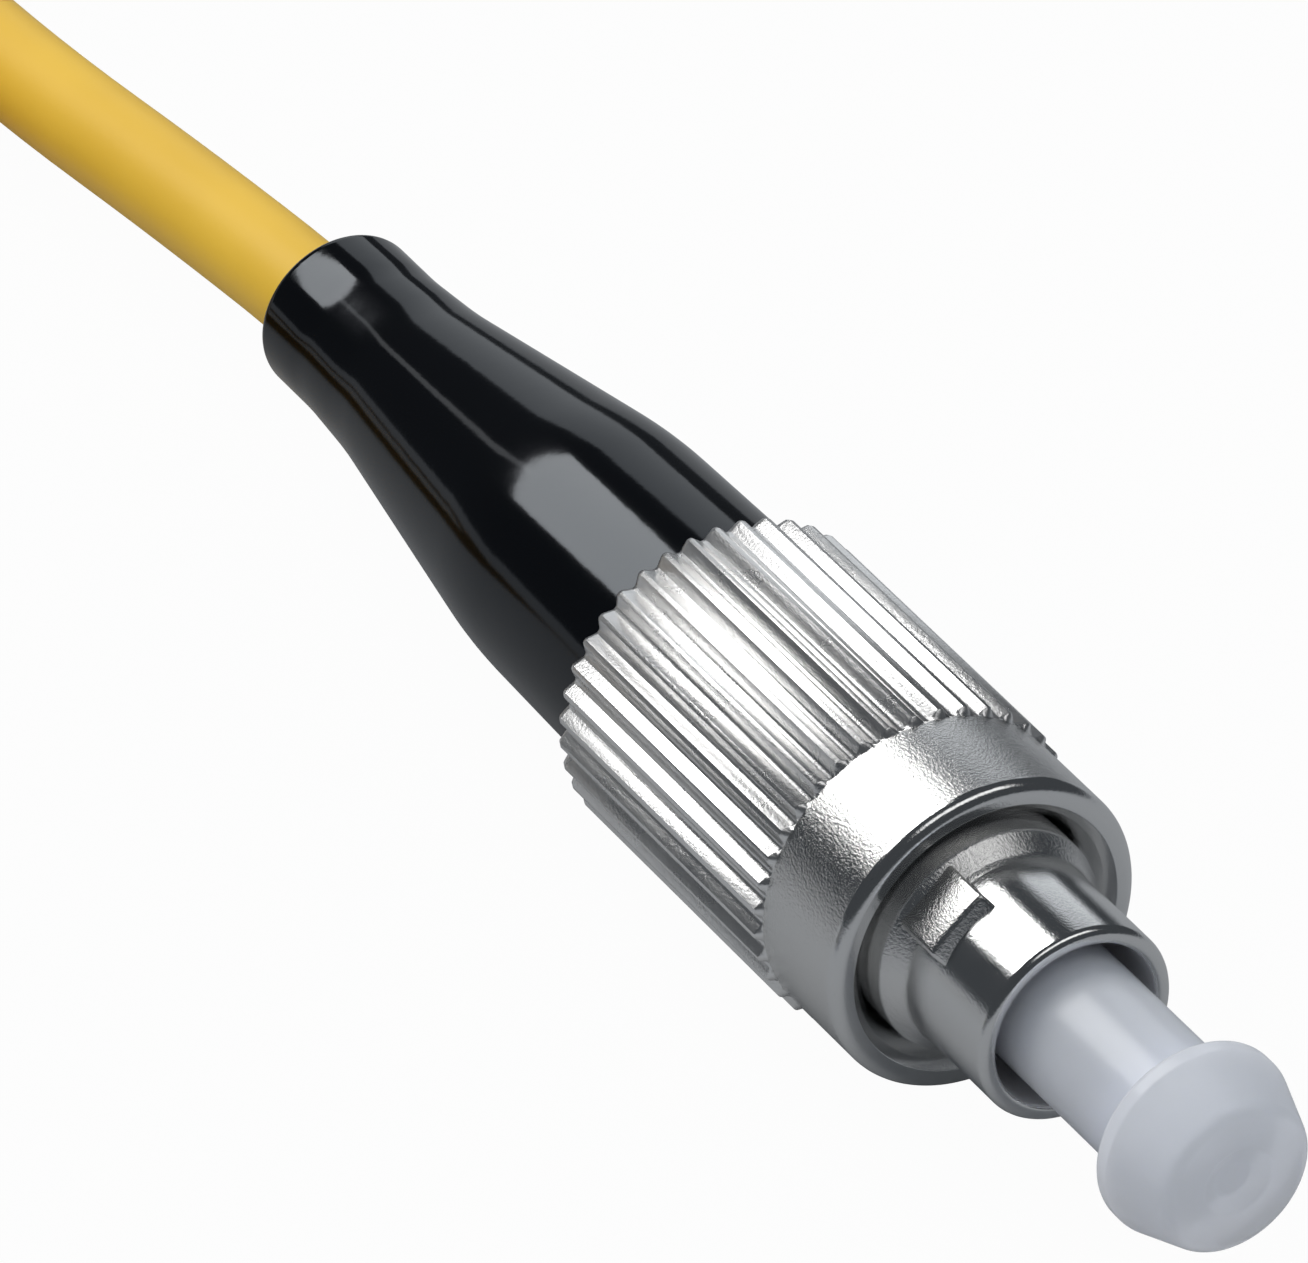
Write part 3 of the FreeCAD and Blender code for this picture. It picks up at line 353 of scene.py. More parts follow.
def rounded(corners, steps):
    """An outline of (along, radius) corners, in which a third number rounds the corner."""
    outline = []
    for number, corner in enumerate(corners):
        here = Vector(corner[:2])
        if len(corner) == 2:
            outline.append(here)
            continue
        back = (Vector(corners[number - 1][:2]) - here).normalized()
        ahead = (Vector(corners[(number + 1) % len(corners)][:2]) - here).normalized()
        half = back.angle(ahead) / 2
        middle = here + (back + ahead).normalized() * corner[2] / math.sin(half)
        start = here + back * corner[2] / math.tan(half) - middle
        sweep = math.pi - 2 * half
        if back.x * ahead.y - back.y * ahead.x > 0:
            sweep = -sweep
        for step in range(steps + 1):
            angle = sweep * step / steps
            outline.append(middle + Vector((start.x * math.cos(angle) - start.y * math.sin(angle),
                                            start.x * math.sin(angle) + start.y * math.cos(angle))))
    return outline


def turned(name, origin, corners, steps=6, spokes=96):
    """Draw half a section from its corners in millimetres and spin it about the plug's axis."""
    outline = [Vector((along, 0, radius)) * mm for along, radius in rounded(corners, steps)]
    bpy.ops.object.select_all(action="DESELECT")
    bpy.ops.mesh.primitive_plane_add(size=mm)
    piece = bpy.context.object
    piece.name = name
    bpy.ops.object.mode_set(mode="EDIT")
    bpy.ops.mesh.select_mode(type="VERT")
    bpy.ops.mesh.merge(type="CENTER")
    bpy.ops.transform.translate(value=origin + outline[0])
    for start, end in zip(outline, outline[1:]):
        bpy.ops.mesh.extrude_region_move(TRANSFORM_OT_translate={"value": end - start})
    bpy.ops.mesh.select_all(action="SELECT")
    bpy.ops.mesh.spin(steps=spokes, angle=math.tau, center=origin, axis=(1, 0, 0))
    close_up(piece)
    return piece


def axis_of(node):
    """The point on a turned node's axis at its rear end."""
    low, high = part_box(node)
    return Vector((low.x, (low.y + high.y) / 2, (low.z + high.z) / 2))


def length_of(node):
    """A node's length along the plug in millimetres."""
    low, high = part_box(node)
    return (high.x - low.x) / mm


def radius_of(node):
    """A turned node's largest radius in millimetres."""
    low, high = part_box(node)
    return (high.z - low.z) / 2 / mm


zirconia = plastic(
    "zirconia", tone=(0.86, 0.85, 0.82), shade=(0.83, 0.82, 0.79),
    dull=0.16, shiny=0.10, grain_size=0.05, grain_depth=0.0006,
    cloud_size=1.5, dust_size=1.2, dust_tone=(0.80, 0.79, 0.77))
sockets_of(zirconia)["Subsurface Weight"].default_value = 0.15
sockets_of(zirconia)["Subsurface Radius"].default_value = (mm, mm, mm)
rim_round, lead_in_round = 0.08, 0.1
for plug, lead_in in (("fc", 0.3), ("lc", 0.2)):
    node = f"{plug}_ferrule"
    tip = length_of(node)
    thick = radius_of(node)
    ferrule = turned(f"{node}_ground", axis_of(node), [
        (0, 0), (0, thick, rim_round), (tip - lead_in, thick, lead_in_round),
        (tip, thick - lead_in, rim_round), (tip, 0)], steps=4, spokes=64)
    ferrule.data.materials.append(zirconia)
    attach(ferrule, f"{plug}_ferrule_unit")
    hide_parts(node)

# Ferrule holders, rear bodies and crimp sleeves: bar stock turned and nickel plated. The holders
# are pressed on the ferrules, and the sleeves are crimped on the rear bodies' posts.
pit_edge, pit_floor = 0.34, 0.28
plating = bpy.data.node_groups.new("plating_texture", "ShaderNodeTree")
for name in ("Grain", "Cloud"):
    plating.interface.new_socket(name, in_out="INPUT", socket_type="NodeSocketFloat")
for name in ("Grain", "Cloud", "Pits"):
    plating.interface.new_socket(name, in_out="OUTPUT", socket_type="NodeSocketFloat")
given = add_node(plating, "NodeGroupInput").outputs
place = add_node(plating, "ShaderNodeTexCoord").outputs["Object"]
grain = add_node(plating, "ShaderNodeTexNoise", {
    "Vector": place, "Scale": given["Grain"], "Detail": 4, "Roughness": 0.6})
cloud = add_node(plating, "ShaderNodeTexNoise", {
    "Vector": place, "Scale": given["Cloud"], "Detail": 3, "Roughness": 0.6})
pits = add_node(plating, "ShaderNodeMapRange", {
    "Value": grain.outputs["Fac"], "From Min": pit_edge, "From Max": pit_floor})
add_node(plating, "NodeGroupOutput", {
    "Grain": grain.outputs["Fac"], "Cloud": cloud.outputs["Fac"], "Pits": pits.outputs[0]})


def plated(name, tone, shade, dull, shiny, grain_size, grain_depth, cloud_size):
    """Plated metal with cast or turned grain, small pits and some duller patches."""
    made = bpy.data.materials.new(name)
    made.use_nodes = True
    tree = made.node_tree
    shader = tree.nodes["Principled BSDF"]
    shader.inputs["Metallic"].default_value = 1
    texture = add_node(tree, "ShaderNodeGroup", node_tree=plating)
    texture.inputs["Grain"].default_value = 1 / (grain_size * mm)
    texture.inputs["Cloud"].default_value = 1 / (cloud_size * mm)
    body_tone = add_node(tree, "ShaderNodeMix", {
        0: texture.outputs["Pits"], 6: (*tone, 1), 7: (*shade, 1)}, data_type="RGBA")
    gloss = add_node(tree, "ShaderNodeMapRange", {
        "Value": texture.outputs["Cloud"], "From Min": cloud_low, "From Max": cloud_high,
        "To Min": dull, "To Max": shiny})
    bump = add_node(tree, "ShaderNodeBump", {
        "Strength": 1, "Distance": grain_depth * mm, "Height": texture.outputs["Grain"]})
    tree.links.new(body_tone.outputs[2], shader.inputs["Base Color"])
    tree.links.new(gloss.outputs[0], shader.inputs["Roughness"])
    tree.links.new(bump.outputs[0], shader.inputs["Normal"])
    return made


def refinish(node, finish):
    """Give a CAD node that keeps its shape a finish of its own."""
    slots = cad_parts[node].data.materials
    slots.clear()
    slots.append(finish)


nickel_turned = plated(
    "nickel_turned", tone=(0.74, 0.73, 0.70), shade=(0.50, 0.48, 0.45),
    dull=0.30, shiny=0.20, grain_size=0.12, grain_depth=0.004,
    cloud_size=1.5)
for node in ("fc_ferrule_holder", "lc_ferrule_holder", "fc_rear_body", "lc_rear_body",
             "fc_crimp_sleeve", "lc_crimp_sleeve"):
    refinish(node, nickel_turned)

# Springs and the split ring that holds the nut: hard drawn steel wire and strip with a grey sheen.
steel_wire = plated(
    "steel_wire", tone=(0.60, 0.60, 0.61), shade=(0.36, 0.36, 0.37),
    dull=0.36, shiny=0.26, grain_size=0.10, grain_depth=0.003,
    cloud_size=0.8)
for node in ("fc_spring", "lc_spring", "fc_retaining_ring"):
    refinish(node, steel_wire)

# Strength yarn and buffered fibre inside the plugs: golden aramid combed back over the crimp
# posts, and a fibre in a white buffer as thick as pencil lead.
strand_stretch = (250, 9000, 9000)
strand_height = 0.04
aramid = bpy.data.materials.new("aramid_yarn")
aramid.use_nodes = True
tree = aramid.node_tree
shader = tree.nodes["Principled BSDF"]
place = add_node(tree, "ShaderNodeTexCoord").outputs["Object"]
drawn = add_node(tree, "ShaderNodeMapping", {"Vector": place, "Scale": strand_stretch})
strands = add_node(tree, "ShaderNodeTexNoise", {
    "Vector": drawn.outputs[0], "Scale": 1, "Detail": 3, "Roughness": 0.6})
strand_tone = add_node(tree, "ShaderNodeMix", {
    0: strands.outputs["Fac"], 6: (0.52, 0.34, 0.08, 1), 7: (0.86, 0.66, 0.26, 1)},
    data_type="RGBA")
strand_bump = add_node(tree, "ShaderNodeBump", {
    "Strength": 0.9, "Distance": strand_height * mm, "Height": strands.outputs["Fac"]})
tree.links.new(strand_tone.outputs[2], shader.inputs["Base Color"])
tree.links.new(strand_bump.outputs[0], shader.inputs["Normal"])
shader.inputs["Roughness"].default_value = 0.55
shader.inputs["Sheen Weight"].default_value = 0.2
buffer_white = plastic(
    "buffer_white", tone=(0.82, 0.81, 0.77), shade=(0.77, 0.76, 0.72),
    dull=0.42, shiny=0.34, grain_size=0.08, grain_depth=0.002,
    cloud_size=1.2, dust_size=1.5, dust_tone=(0.70, 0.68, 0.62))
for plug in ("fc", "lc"):
    refinish(f"{plug}_strength_yarn", aramid)
    refinish(f"{plug}_fibre", buffer_white)

# FC boot: a glossy black rubber moulding that is pushed on the rear body's hub and bends with the
# cable. It tapers from the nut to a waist and a short collar with a rounded lip.
plug_axis = axis_of("fc_coupling_nut")
boot_low, boot_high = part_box("fc_boot")
boot_front = (boot_high.x - plug_axis.x) / mm
boot_rear = (boot_low.x - plug_axis.x) / mm
boot_radius = radius_of("fc_boot")
boot_draft = 0.16
shoulder_x, waist_x, collar_x = -7.0, -15.9, -18.2
waist_radius, collar_radius = 2.67, 2.5
hub_bore, crimp_bore, cable_bore = 2.83, 2.15, 1.75
hub_end, crimp_end = -2.5, -11.03
boot = turned("fc_boot_moulded", plug_axis, [
    (boot_front, hub_bore), (boot_front, boot_radius, 0.15),
    (shoulder_x, boot_radius - boot_draft, 20.0), (waist_x, waist_radius, 16.0),
    (collar_x, collar_radius, 10.0), (boot_rear, collar_radius, 0.35),
    (boot_rear, cable_bore, 0.15), (crimp_end, cable_bore), (crimp_end, crimp_bore),
    (hub_end, crimp_bore), (hub_end, hub_bore), (boot_front, hub_bore)], steps=9, spokes=128)
boot_black = plastic(
    "boot_black", tone=(0.0010, 0.0012, 0.0018), shade=(0.0014, 0.0016, 0.0024),
    dull=0.11, shiny=0.08, grain_size=0.55, grain_depth=0.0025,
    cloud_size=4.0, dust_size=1.6, dust_tone=(0.025, 0.027, 0.031))
boot_shader = sockets_of(boot_black)
boot_shader["Specular IOR Level"].default_value = 0.52
boot_shader["Specular Tint"].default_value = (0.86, 0.93, 1.0, 1)
boot.data.materials.append(boot_black)
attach(boot, "cord")
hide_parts("fc_boot")

# FC plug frame: a nickel-plated turned frame. Its barrel guides the ferrule, a milled key beside
# the barrel stops it from turning, and a short cone leads to the flange that the nut draws on.
nickel_polished = plated(
    "nickel_polished", tone=(0.76, 0.76, 0.755), shade=(0.58, 0.58, 0.57),
    dull=0.14, shiny=0.09, grain_size=0.08, grain_depth=0.005,
    cloud_size=2.2)
nickel_grained = plated(
    "nickel_grained", tone=(0.77, 0.766, 0.755), shade=(0.60, 0.59, 0.58),
    dull=0.11, shiny=0.07, grain_size=0.085, grain_depth=0.020,
    cloud_size=2.5)
nickel_matt = plated(
    "nickel_matt", tone=(0.62, 0.615, 0.61), shade=(0.45, 0.44, 0.43),
    dull=0.60, shiny=0.50, grain_size=0.09, grain_depth=0.006,
    cloud_size=2.0)
sockets_of(nickel_matt)["Metallic"].default_value = 0.35
frame_low, frame_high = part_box("fc_plug_frame")
frame_rear = (frame_low.x - plug_axis.x) / mm
barrel_front = (frame_high.x - plug_axis.x) / mm
barrel_radius, barrel_bore = 3.0, 2.5
barrel_foot, bore_seam = 14.85, 16.0
flange_radius = radius_of("fc_plug_frame")
flange_front, flange_rear = 14.23, 11.0
seat_front, seat_rear, seat_bore = 13.5, 12.0, 1.75
chamber_bore = 2.3
plug_frame = turned("fc_frame_turned", plug_axis, [
    (bore_seam, barrel_bore), (barrel_front, barrel_bore, 0.16),
    (barrel_front, barrel_radius, 0.26), (barrel_foot, barrel_radius, 0.45),
    (flange_front, flange_radius, 0.2), (flange_rear, flange_radius, 0.10),
    (flange_rear, barrel_radius), (frame_rear, barrel_radius, 0.1), (frame_rear, chamber_bore),
    (seat_rear, chamber_bore), (seat_rear, seat_bore), (seat_front, seat_bore, 0.08),
    (seat_front, barrel_bore), (bore_seam, barrel_bore)], steps=8, spokes=128)
key_angle = math.radians(41)
key_low, key_top = 2.7, 3.37
key_rear, key_front = 13.6, 16.0
key_width = 2.1
key_slope = 0.3
key_crown = 9.0
crown_x = 0.8
key_edge = 0.10
bpy.ops.object.select_all(action="DESELECT")
bpy.ops.mesh.primitive_cube_add(
    size=mm, scale=(key_front - key_rear, key_width, key_top - key_low))
bpy.ops.object.transform_apply(location=True, rotation=True, scale=True)
key = bpy.context.object
choose(key, "VERT", lambda vertex: vertex.co.x > 0 and vertex.co.z < 0)
bpy.ops.transform.translate(value=(key_slope * mm, 0, 0))
bpy.ops.object.mode_set(mode="OBJECT")
for axis, cuts in ((1, 9), (0, 7)):
    choose(key, "EDGE", runs_along(key, axis))
    bpy.ops.mesh.subdivide(number_cuts=cuts)
    bpy.ops.object.mode_set(mode="OBJECT")
for axis, middle in ((0, crown_x), (1, 0)):
    places = {round(vertex.co[axis], 7) for vertex in key.data.vertices if vertex.co.z > 0}
    for place in sorted(places):
        choose(key, "VERT", lambda vertex: (
            vertex.co.z > 0 and abs(vertex.co[axis] - place) < 1e-6))
        fall = (place - middle * mm) ** 2 / (2 * key_crown * mm)
        bpy.ops.transform.translate(value=(0, 0, -fall))
        bpy.ops.object.mode_set(mode="OBJECT")
choose(key, "EDGE", lambda edge: False)
bpy.ops.mesh.edges_select_sharp(sharpness=math.radians(25))
bpy.ops.mesh.bevel(offset=key_edge * mm, segments=4, affect="EDGES")
close_up(key)
key_middle = Vector((0, -math.sin(key_angle), math.cos(key_angle))) * (key_low + key_top) / 2 * mm
key.location = plug_axis + key_middle + Vector(((key_rear + key_front) / 2 * mm, 0, 0))
key.rotation_euler = (key_angle, 0, 0)
bpy.ops.object.transform_apply(location=True, rotation=True, scale=True)
for piece in (plug_frame, key):
    piece.data.materials.append(nickel_grained)
for finish in (nickel_polished, nickel_matt):
    plug_frame.data.materials.append(finish)
bore_edge = barrel_bore + 0.02
polish_start = barrel_foot + 0.1
for face in plug_frame.data.polygons:
    outwards = math.hypot(face.center.y - plug_axis.y, face.center.z - plug_axis.z) / mm
    if outwards < bore_edge:
        face.material_index = 2
    elif face.center.x > plug_axis.x + polish_start * mm:
        face.material_index = 1
bpy.ops.object.select_all(action="DESELECT")
key.select_set(True)
plug_frame.select_set(True)
bpy.context.view_layer.objects.active = plug_frame
bpy.ops.object.join()
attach(plug_frame, "cord")
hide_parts("fc_plug_frame")

# FC coupling nut: cast and nickel plated, with straight finger ribs, a bare sleeve and a polished
# bevel round its threaded mouth. It runs on the split ring behind the frame's flange.
rib_count = 38
points_per_rib = 12
rib_shape = [1, 0.97, 0.75, 0.50, 0.25, 0.03, 0, 0.03, 0.25, 0.50, 0.75, 0.97]
nut_length = length_of("fc_coupling_nut")
rib_radius = radius_of("fc_coupling_nut")
sleeve_radius = rib_radius - 0.22
groove_radius = rib_radius - 0.28
rib_end = 10.5
rib_slope = 0.16
rib_ease = 0.03
rear_chamfer = 0.22
thread_turns = 6
thread_pitch = 0.75
thread_start = 0.62
thread_crest, thread_root = 3.62, 4.02
mouth_radius, mouth_lip, mouth_depth = 4.15, 3.9, 0.25
mouth_round = 0.38
web_front, web_rear, web_bore = 8.0, 5.5, 3.06
nut_rear_bore = 4.35
bpy.ops.object.select_all(action="DESELECT")
bpy.ops.mesh.primitive_circle_add(vertices=rib_count * points_per_rib, radius=rib_radius * mm,
                                  location=plug_axis, rotation=(0, math.pi / 2, 0))
bpy.ops.object.transform_apply(location=True, rotation=True, scale=True)
nut = bpy.context.object
nut.name = "fc_nut_cast"


def rib_height(vertex):
    """How far up a rib a point of the nut lies, from its place round the axis."""
    spoke = math.atan2(vertex.co.y - plug_axis.y, plug_axis.z - vertex.co.z) / math.tau * rib_count
    return rib_shape[round((spoke % 1) * points_per_rib) % points_per_rib]


def ring_to(radius, before):
    """Move the selected ring of the nut from one radius to another."""
    spread = radius / before
    bpy.ops.transform.resize(value=(1, spread, spread), center_override=plug_axis)


def next_ring(along, radius, before):
    """Extrude the selected ring along the plug's axis and give it its radius."""
    bpy.ops.mesh.extrude_region_move(TRANSFORM_OT_translate={"value": (along * mm, 0, 0)})
    ring_to(radius, before)


for height in sorted(set(rib_shape)):
    choose(nut, "VERT", lambda vertex: rib_height(vertex) == height)
    ring_to(groove_radius + (rib_radius - groove_radius) * height, rib_radius)
bpy.ops.mesh.select_all(action="SELECT")
ring_to(rib_radius - rear_chamfer, rib_radius)
next_ring(0.5 * rear_chamfer, rib_radius - 0.3 * rear_chamfer, rib_radius - rear_chamfer)
next_ring(0.7 * rear_chamfer, rib_radius, rib_radius - 0.3 * rear_chamfer)
next_ring(rib_end - rib_slope - 1.2 * rear_chamfer, rib_radius, rib_radius)
next_ring(0.3 * rib_slope, rib_radius - rib_ease, rib_radius)
next_ring(0.7 * rib_slope, rib_radius - rib_ease, rib_radius - rib_ease)
bpy.ops.object.mode_set(mode="OBJECT")
rib_front = max(vertex.co.x for vertex in nut.data.vertices)
for height in sorted(set(rib_shape)):
    choose(nut, "VERT", lambda vertex: (
        vertex.co.x > rib_front - 1e-6 and rib_height(vertex) == height))
    before = groove_radius + (rib_radius - groove_radius) * height
    ring_to(sleeve_radius * rib_radius, before * (rib_radius - rib_ease))
choose(nut, "VERT", lambda vertex: vertex.co.x > rib_front - 1e-6)
thread = []
for turn in range(thread_turns):
    thread_x = nut_length - thread_start - thread_pitch * turn
    thread += [(thread_x, thread_crest), (thread_x - 0.32, thread_root),
               (thread_x - 0.40, thread_root), (thread_x - 0.68, thread_crest)]
inside = rounded([
    (rib_end, sleeve_radius), (rib_end + 0.06, sleeve_radius),
    (nut_length, sleeve_radius, mouth_round), (nut_length, mouth_radius, 0.05),
    (nut_length - mouth_depth, mouth_lip, 0.05), *thread, (web_front, thread_crest),
    (web_front, web_bore), (web_rear, web_bore), (web_rear, nut_rear_bore),
    (0, nut_rear_bore)], 8)
for start, end in zip(inside, inside[1:]):
    next_ring(end.x - start.x, end.y, start.y)
bpy.ops.object.mode_set(mode="OBJECT")
choose(nut, "VERT", lambda vertex: vertex.co.x < plug_axis.x + 1e-6)
bpy.ops.mesh.bridge_edge_loops()
close_up(nut)
nickel_cast = plated(
    "nickel_cast", tone=(0.86, 0.855, 0.845), shade=(0.66, 0.65, 0.64),
    dull=0.32, shiny=0.25, grain_size=0.10, grain_depth=0.010,
    cloud_size=2.5)
for finish in (nickel_cast, nickel_polished, nickel_grained):
    nut.data.materials.append(finish)
inner_edge = 4.25
bevel_start = nut_length - 0.36
for face in nut.data.polygons:
    along = (face.center.x - plug_axis.x) / mm
    outwards = math.hypot(face.center.y - plug_axis.y, face.center.z - plug_axis.z) / mm
    if outwards < inner_edge or along > bevel_start:
        face.material_index = 1
    elif along > rib_end:
        face.material_index = 2
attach(nut, "nut")
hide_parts("fc_coupling_nut")

# FC dust cap: a soft, milky polyethylene moulding. Its hollow shaft grips the ferrule inside the
# barrel, and its cone-shaped head with a shallow dimple is what the fingers pull.
cap_low, cap_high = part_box("fc_dust_cap")
cap_rear = (cap_low.x - plug_axis.x) / mm
cap_front = (cap_high.x - plug_axis.x) / mm
cap_radius = radius_of("fc_dust_cap")
shaft_radius, shaft_bore, bore_end = 2.02, 1.28, 22.1
lip_rear, lip_front = 23.95, 24.55
face_radius = 2.25
dimple_radius, dimple_floor, dimple_depth = 1.05, 0.55, 0.24
dust_cap = turned("fc_cap_moulded", plug_axis, [
    (cap_rear, shaft_bore), (cap_rear, shaft_radius, 0.12), (lip_rear, shaft_radius, 0.14),
    (lip_rear, cap_radius, 0.26), (lip_front, cap_radius, 0.35), (cap_front, face_radius, 0.45),
    (cap_front, dimple_radius, 0.35), (cap_front - dimple_depth, dimple_floor, 0.4),
    (cap_front - dimple_depth, 0), (bore_end, 0), (bore_end, shaft_bore, 0.1),
    (cap_rear, shaft_bore)], steps=7, spokes=112)
cap_milky = plastic(
    "cap_milky", tone=(0.79, 0.81, 0.885), shade=(0.78, 0.80, 0.875),
    dull=0.27, shiny=0.25, grain_size=0.7, grain_depth=0.004,
    cloud_size=3.0, dust_size=2.5, dust_tone=(0.69, 0.72, 0.81))
cap_shader = sockets_of(cap_milky)
cap_shader["Subsurface Weight"].default_value = 0.8
cap_shader["Subsurface Radius"].default_value = (3.2 * mm, 3.2 * mm, 3.4 * mm)
tree = cap_milky.node_tree
along = add_node(tree, "ShaderNodeSeparateXYZ", {
    0: add_node(tree, "ShaderNodeTexCoord").outputs["Object"]}).outputs[0]
shaft_end, head_start = plug_axis.x + 23.6 * mm, plug_axis.x + 24.4 * mm
for socket, on_shaft, on_head in (
        ("Subsurface Scale", 1.0, 4.0), ("Specular IOR Level", 0.5, 0.12)):
    change = add_node(tree, "ShaderNodeMapRange", {
        "Value": along, "From Min": shaft_end, "From Max": head_start,
        "To Min": on_shaft, "To Max": on_head})
    tree.links.new(change.outputs[0], cap_shader[socket])
cap_shader["Transmission Weight"].default_value = 0.3
cap_shader["IOR"].default_value = 1.5
dust_cap.data.materials.append(cap_milky)
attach(dust_cap, "fc_cap")
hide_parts("fc_dust_cap")

# LC housing: a square moulding in blue engineering plastic with soft long edges. A round mouth
# takes the ferrule, and a shallow panel is sunk in each side of the body.
lc_low, lc_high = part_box("lc_housing")
lc_front = Vector((lc_high.x, (lc_low.y + lc_high.y) / 2, (lc_low.z + lc_high.z) / 2))
lc_body_size = (lc_high.z - lc_low.z) / mm
lc_nose_size = 4.5
lc_nose_length = 7.5
lc_edge_round = 0.35
panel_setback, panel_margin, panel_depth = 8, 0.7, 0.2
bpy.ops.object.select_all(action="DESELECT")
bpy.ops.mesh.primitive_cube_add(
    size=mm, location=lc_front - Vector((lc_nose_length / 2 * mm, 0, 0)),
    scale=(lc_nose_length, lc_nose_size, lc_nose_size))
bpy.ops.object.transform_apply(location=True, rotation=True, scale=True)
housing = bpy.context.object
housing.name = "lc_housing_moulded"
choose(housing, "FACE", lambda face: face.normal.x < -0.9)
bpy.ops.mesh.extrude_region_move(TRANSFORM_OT_translate={"value": (0, 0, 0)})
spread = lc_body_size / lc_nose_size
bpy.ops.transform.resize(value=(1, spread, spread), center_override=lc_front)
bpy.ops.mesh.extrude_region_move(TRANSFORM_OT_translate={
    "value": (lc_low.x - lc_front.x + lc_nose_length * mm, 0, 0)})
bpy.ops.object.mode_set(mode="OBJECT")
choose(housing, "EDGE", runs_along(housing, 0))
bpy.ops.mesh.bevel(offset=lc_edge_round * mm, segments=4, affect="EDGES")
bpy.ops.object.mode_set(mode="OBJECT")
choose(housing, "FACE", lambda face: (
    abs(face.normal.y) > 0.99 and face.center.x < lc_front.x - panel_setback * mm))
bpy.ops.mesh.inset(thickness=panel_margin * mm, depth=-panel_depth * mm, use_individual=True)
bpy.ops.object.mode_set(mode="OBJECT")
close_up(housing)
lc_mouth, lc_mouth_end = 1.45, -2.5
lc_seat, lc_seat_end = 1.0, -4.0
lc_chamber, lc_chamber_end = 1.75, -16
bore = turned("lc_bore", lc_front, [
    (1, 0), (1, lc_mouth), (lc_mouth_end, lc_mouth), (lc_mouth_end, lc_seat),
    (lc_seat_end, lc_seat), (lc_seat_end, lc_chamber), (lc_chamber_end, lc_chamber),
    (lc_chamber_end, 0)], spokes=64)
bpy.ops.object.select_all(action="DESELECT")
housing.select_set(True)
bpy.context.view_layer.objects.active = housing
cut = housing.modifiers.new("bore", "BOOLEAN")
cut.object = bore
cut.operation = "DIFFERENCE"
cut.solver = "EXACT"
bpy.ops.object.modifier_apply(modifier="bore")
bpy.data.objects.remove(bore)
bpy.ops.object.shade_smooth_by_angle(angle=math.radians(32))
housing_blue = plastic(
    "housing_blue", tone=(0.022, 0.13, 0.47), shade=(0.018, 0.11, 0.42),
    dull=0.40, shiny=0.31, grain_size=0.25, grain_depth=0.008,
    cloud_size=4.0, dust_size=2.5, dust_tone=(0.06, 0.17, 0.46))
housing.data.materials.append(housing_blue)
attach(housing, "cord")
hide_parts("lc_housing")

# LC latch and trigger: thin springy arms of the same blue plastic. The latch rises towards the
# rear with a pair of ears that catch in the socket; the trigger bends over its end and presses it.


def bent_arm(name, start, width, thickness, path):
    """Extrude a flat bar through (along, rise, width) steps in millimetres and soften its edges."""
    bpy.ops.object.select_all(action="DESELECT")
    bpy.ops.mesh.primitive_plane_add(size=mm, location=start, rotation=(0, math.pi / 2, 0),
                                     scale=(thickness, width, 1))
    bpy.ops.object.transform_apply(location=True, rotation=True, scale=True)
    arm = bpy.context.object
    arm.name = name
    bpy.ops.object.mode_set(mode="EDIT")
    bpy.ops.mesh.select_mode(type="FACE")
    bpy.ops.mesh.select_all(action="SELECT")
    for along, rise, wider in path:
        bpy.ops.mesh.extrude_region_move(TRANSFORM_OT_translate={
            "value": (along * mm, 0, rise * mm)})
        bpy.ops.transform.resize(value=(1, wider / width, 1), center_override=start)
        width = wider
    close_up(arm)
    choose(arm, "EDGE", lambda edge: False)
    bpy.ops.mesh.edges_select_sharp(sharpness=math.radians(40))
    bpy.ops.mesh.bevel(offset=arm_edge * mm, segments=3, affect="EDGES")
    close_up(arm)
    return arm


arm_edge = 0.11
latch_low, latch_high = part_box("lc_latch")
latch_slope = 2.1 / 10.4
latch_width, latch_thickness = 2.6, 0.8
ear_width, ear_step = 4.0, 0.02
latch_start = Vector((latch_high.x, lc_front.y, latch_low.z + latch_thickness / 2 * mm))
latch_steps = [(4.4, latch_width), (ear_step, ear_width), (2.2, ear_width),
               (ear_step, latch_width), (3.76, latch_width)]
latch = bent_arm("lc_latch_moulded", latch_start, latch_width, latch_thickness, [
    (-along, along * latch_slope, wide) for along, wide in latch_steps])
latch.data.materials.append(housing_blue)
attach(latch, "lc_latch_arm")
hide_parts("lc_latch")

trigger_low, trigger_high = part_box("lc_trigger")
trigger_width, trigger_thickness = 3.6, 0.9
trigger_rise = (trigger_high.z - trigger_low.z) / mm - trigger_thickness
first_rise = 0.35
trigger_start = Vector((trigger_low.x, lc_front.y, trigger_low.z + trigger_thickness / 2 * mm))
trigger = bent_arm("lc_trigger_moulded", trigger_start, trigger_width, trigger_thickness, [
    (0.9, first_rise, trigger_width), (2.3, trigger_rise - first_rise, trigger_width),
    (1.0, 0, 3.4), (1.0, 0, 3.0)])
trigger.data.materials.append(housing_blue)
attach(trigger, "lc_trigger_lever")
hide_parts("lc_trigger")

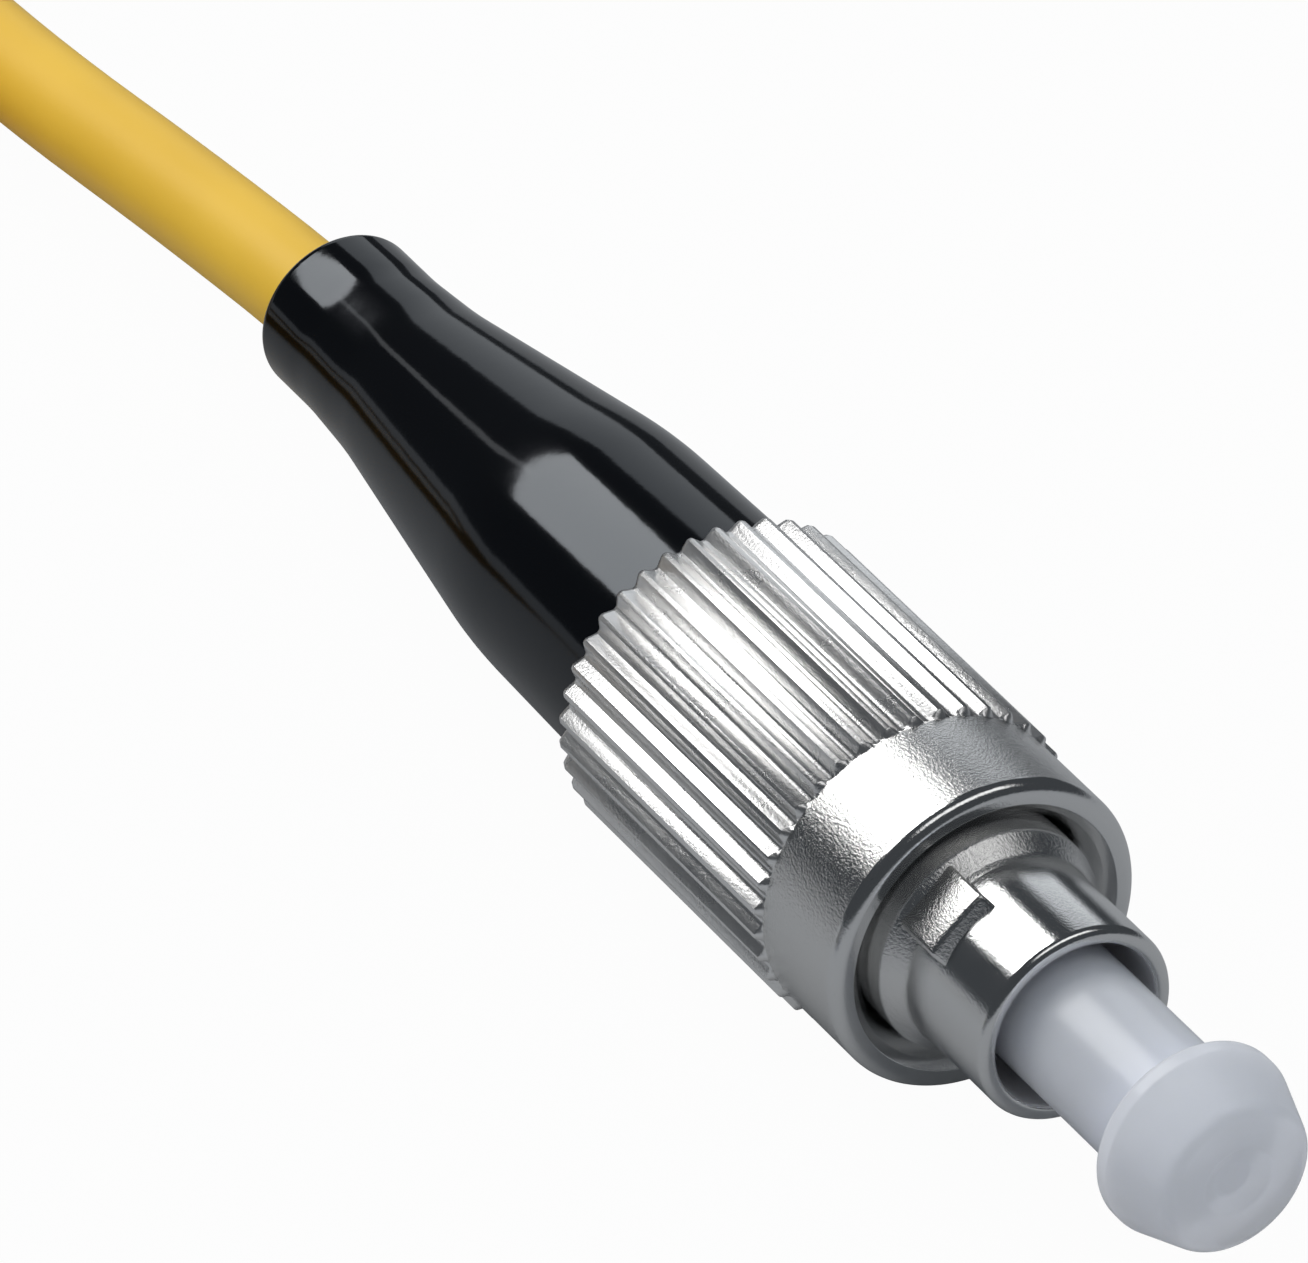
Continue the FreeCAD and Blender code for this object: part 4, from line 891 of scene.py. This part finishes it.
# LC boot: a slim white rubber sleeve over the crimp, with shallow rings moulded round its rear
# half so that it bends with the cable.
lc_boot_low, lc_boot_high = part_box("lc_boot")
lc_boot_front = (lc_boot_high.x - lc_front.x) / mm
lc_boot_rear = (lc_boot_low.x - lc_front.x) / mm
lc_boot_radius = radius_of("lc_boot")
lc_boot_end = 2.2
lc_crimp_bore, lc_cable_bore, lc_crimp_end = 2.06, 1.75, -26.23
plain_length = 9.0
ring_count, ring_pitch, ring_start = 8, 1.7, 1.2
taper_front = lc_boot_front - plain_length
taper = (lc_boot_radius - lc_boot_end) / (taper_front - lc_boot_rear)
flex_rings = []
for number in range(ring_count):
    ring_x = taper_front - ring_start - ring_pitch * number
    ring_r = lc_boot_radius - taper * (taper_front - ring_x)
    flex_rings += [(ring_x, ring_r, 0.1), (ring_x - 0.1, ring_r - 0.25, 0.06),
                   (ring_x - 0.6, ring_r - 0.27, 0.06), (ring_x - 0.7, ring_r - 0.02, 0.1)]
lc_boot = turned("lc_boot_moulded", lc_front, [
    (lc_boot_front, lc_crimp_bore), (lc_boot_front, lc_boot_radius, 0.2),
    (taper_front, lc_boot_radius, 4.0), *flex_rings, (lc_boot_rear, lc_boot_end, 0.2),
    (lc_boot_rear, lc_cable_bore, 0.1), (lc_crimp_end, lc_cable_bore),
    (lc_crimp_end, lc_crimp_bore), (lc_boot_front, lc_crimp_bore)], steps=4, spokes=80)
boot_white = plastic(
    "boot_white", tone=(0.80, 0.80, 0.78), shade=(0.76, 0.76, 0.74),
    dull=0.46, shiny=0.38, grain_size=0.35, grain_depth=0.008,
    cloud_size=4.0, dust_size=2.2, dust_tone=(0.60, 0.59, 0.56))
lc_boot.data.materials.append(boot_white)
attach(lc_boot, "cord")
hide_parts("lc_boot")

# LC dust cap: a slim moulding in the FC cap's milky polyethylene. Its hollow stem is pushed on the
# ferrule in the housing's mouth, and it has a small round head.
lc_cap_low, lc_cap_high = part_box("lc_dust_cap")
lc_cap_rear = (lc_cap_low.x - lc_front.x) / mm
lc_cap_front = (lc_cap_high.x - lc_front.x) / mm
lc_cap_radius = radius_of("lc_dust_cap")
stem_radius, stem_bore, stem_bore_end = 1.305, 0.655, 2.1
lc_lip_rear, lc_lip_front = 2.9, 3.5
lc_face_radius = 1.40
lc_dimple_radius, lc_dimple_floor, lc_dimple_depth = 0.6, 0.3, 0.15
lc_cap = turned("lc_cap_moulded", lc_front, [
    (lc_cap_rear, stem_bore), (lc_cap_rear, stem_radius, 0.1), (lc_lip_rear, stem_radius, 0.1),
    (lc_lip_rear, lc_cap_radius, 0.15), (lc_lip_front, lc_cap_radius, 0.2),
    (lc_cap_front, lc_face_radius, 0.3), (lc_cap_front, lc_dimple_radius, 0.2),
    (lc_cap_front - lc_dimple_depth, lc_dimple_floor, 0.2), (lc_cap_front - lc_dimple_depth, 0),
    (stem_bore_end, 0), (stem_bore_end, stem_bore), (lc_cap_rear, stem_bore)],
    steps=5, spokes=80)
lc_cap.data.materials.append(cap_milky)
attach(lc_cap, "lc_cap")
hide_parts("lc_dust_cap")

# The cord as a whole: the jacket with the tie and the LC plug that hang on it. They lie far from
# the FC plug in use, so its bright plating does not mirror them.
far_pieces = [tie, housing, latch, trigger, lc_boot, lc_cap]
for piece in far_pieces:
    piece.visible_glossy = False
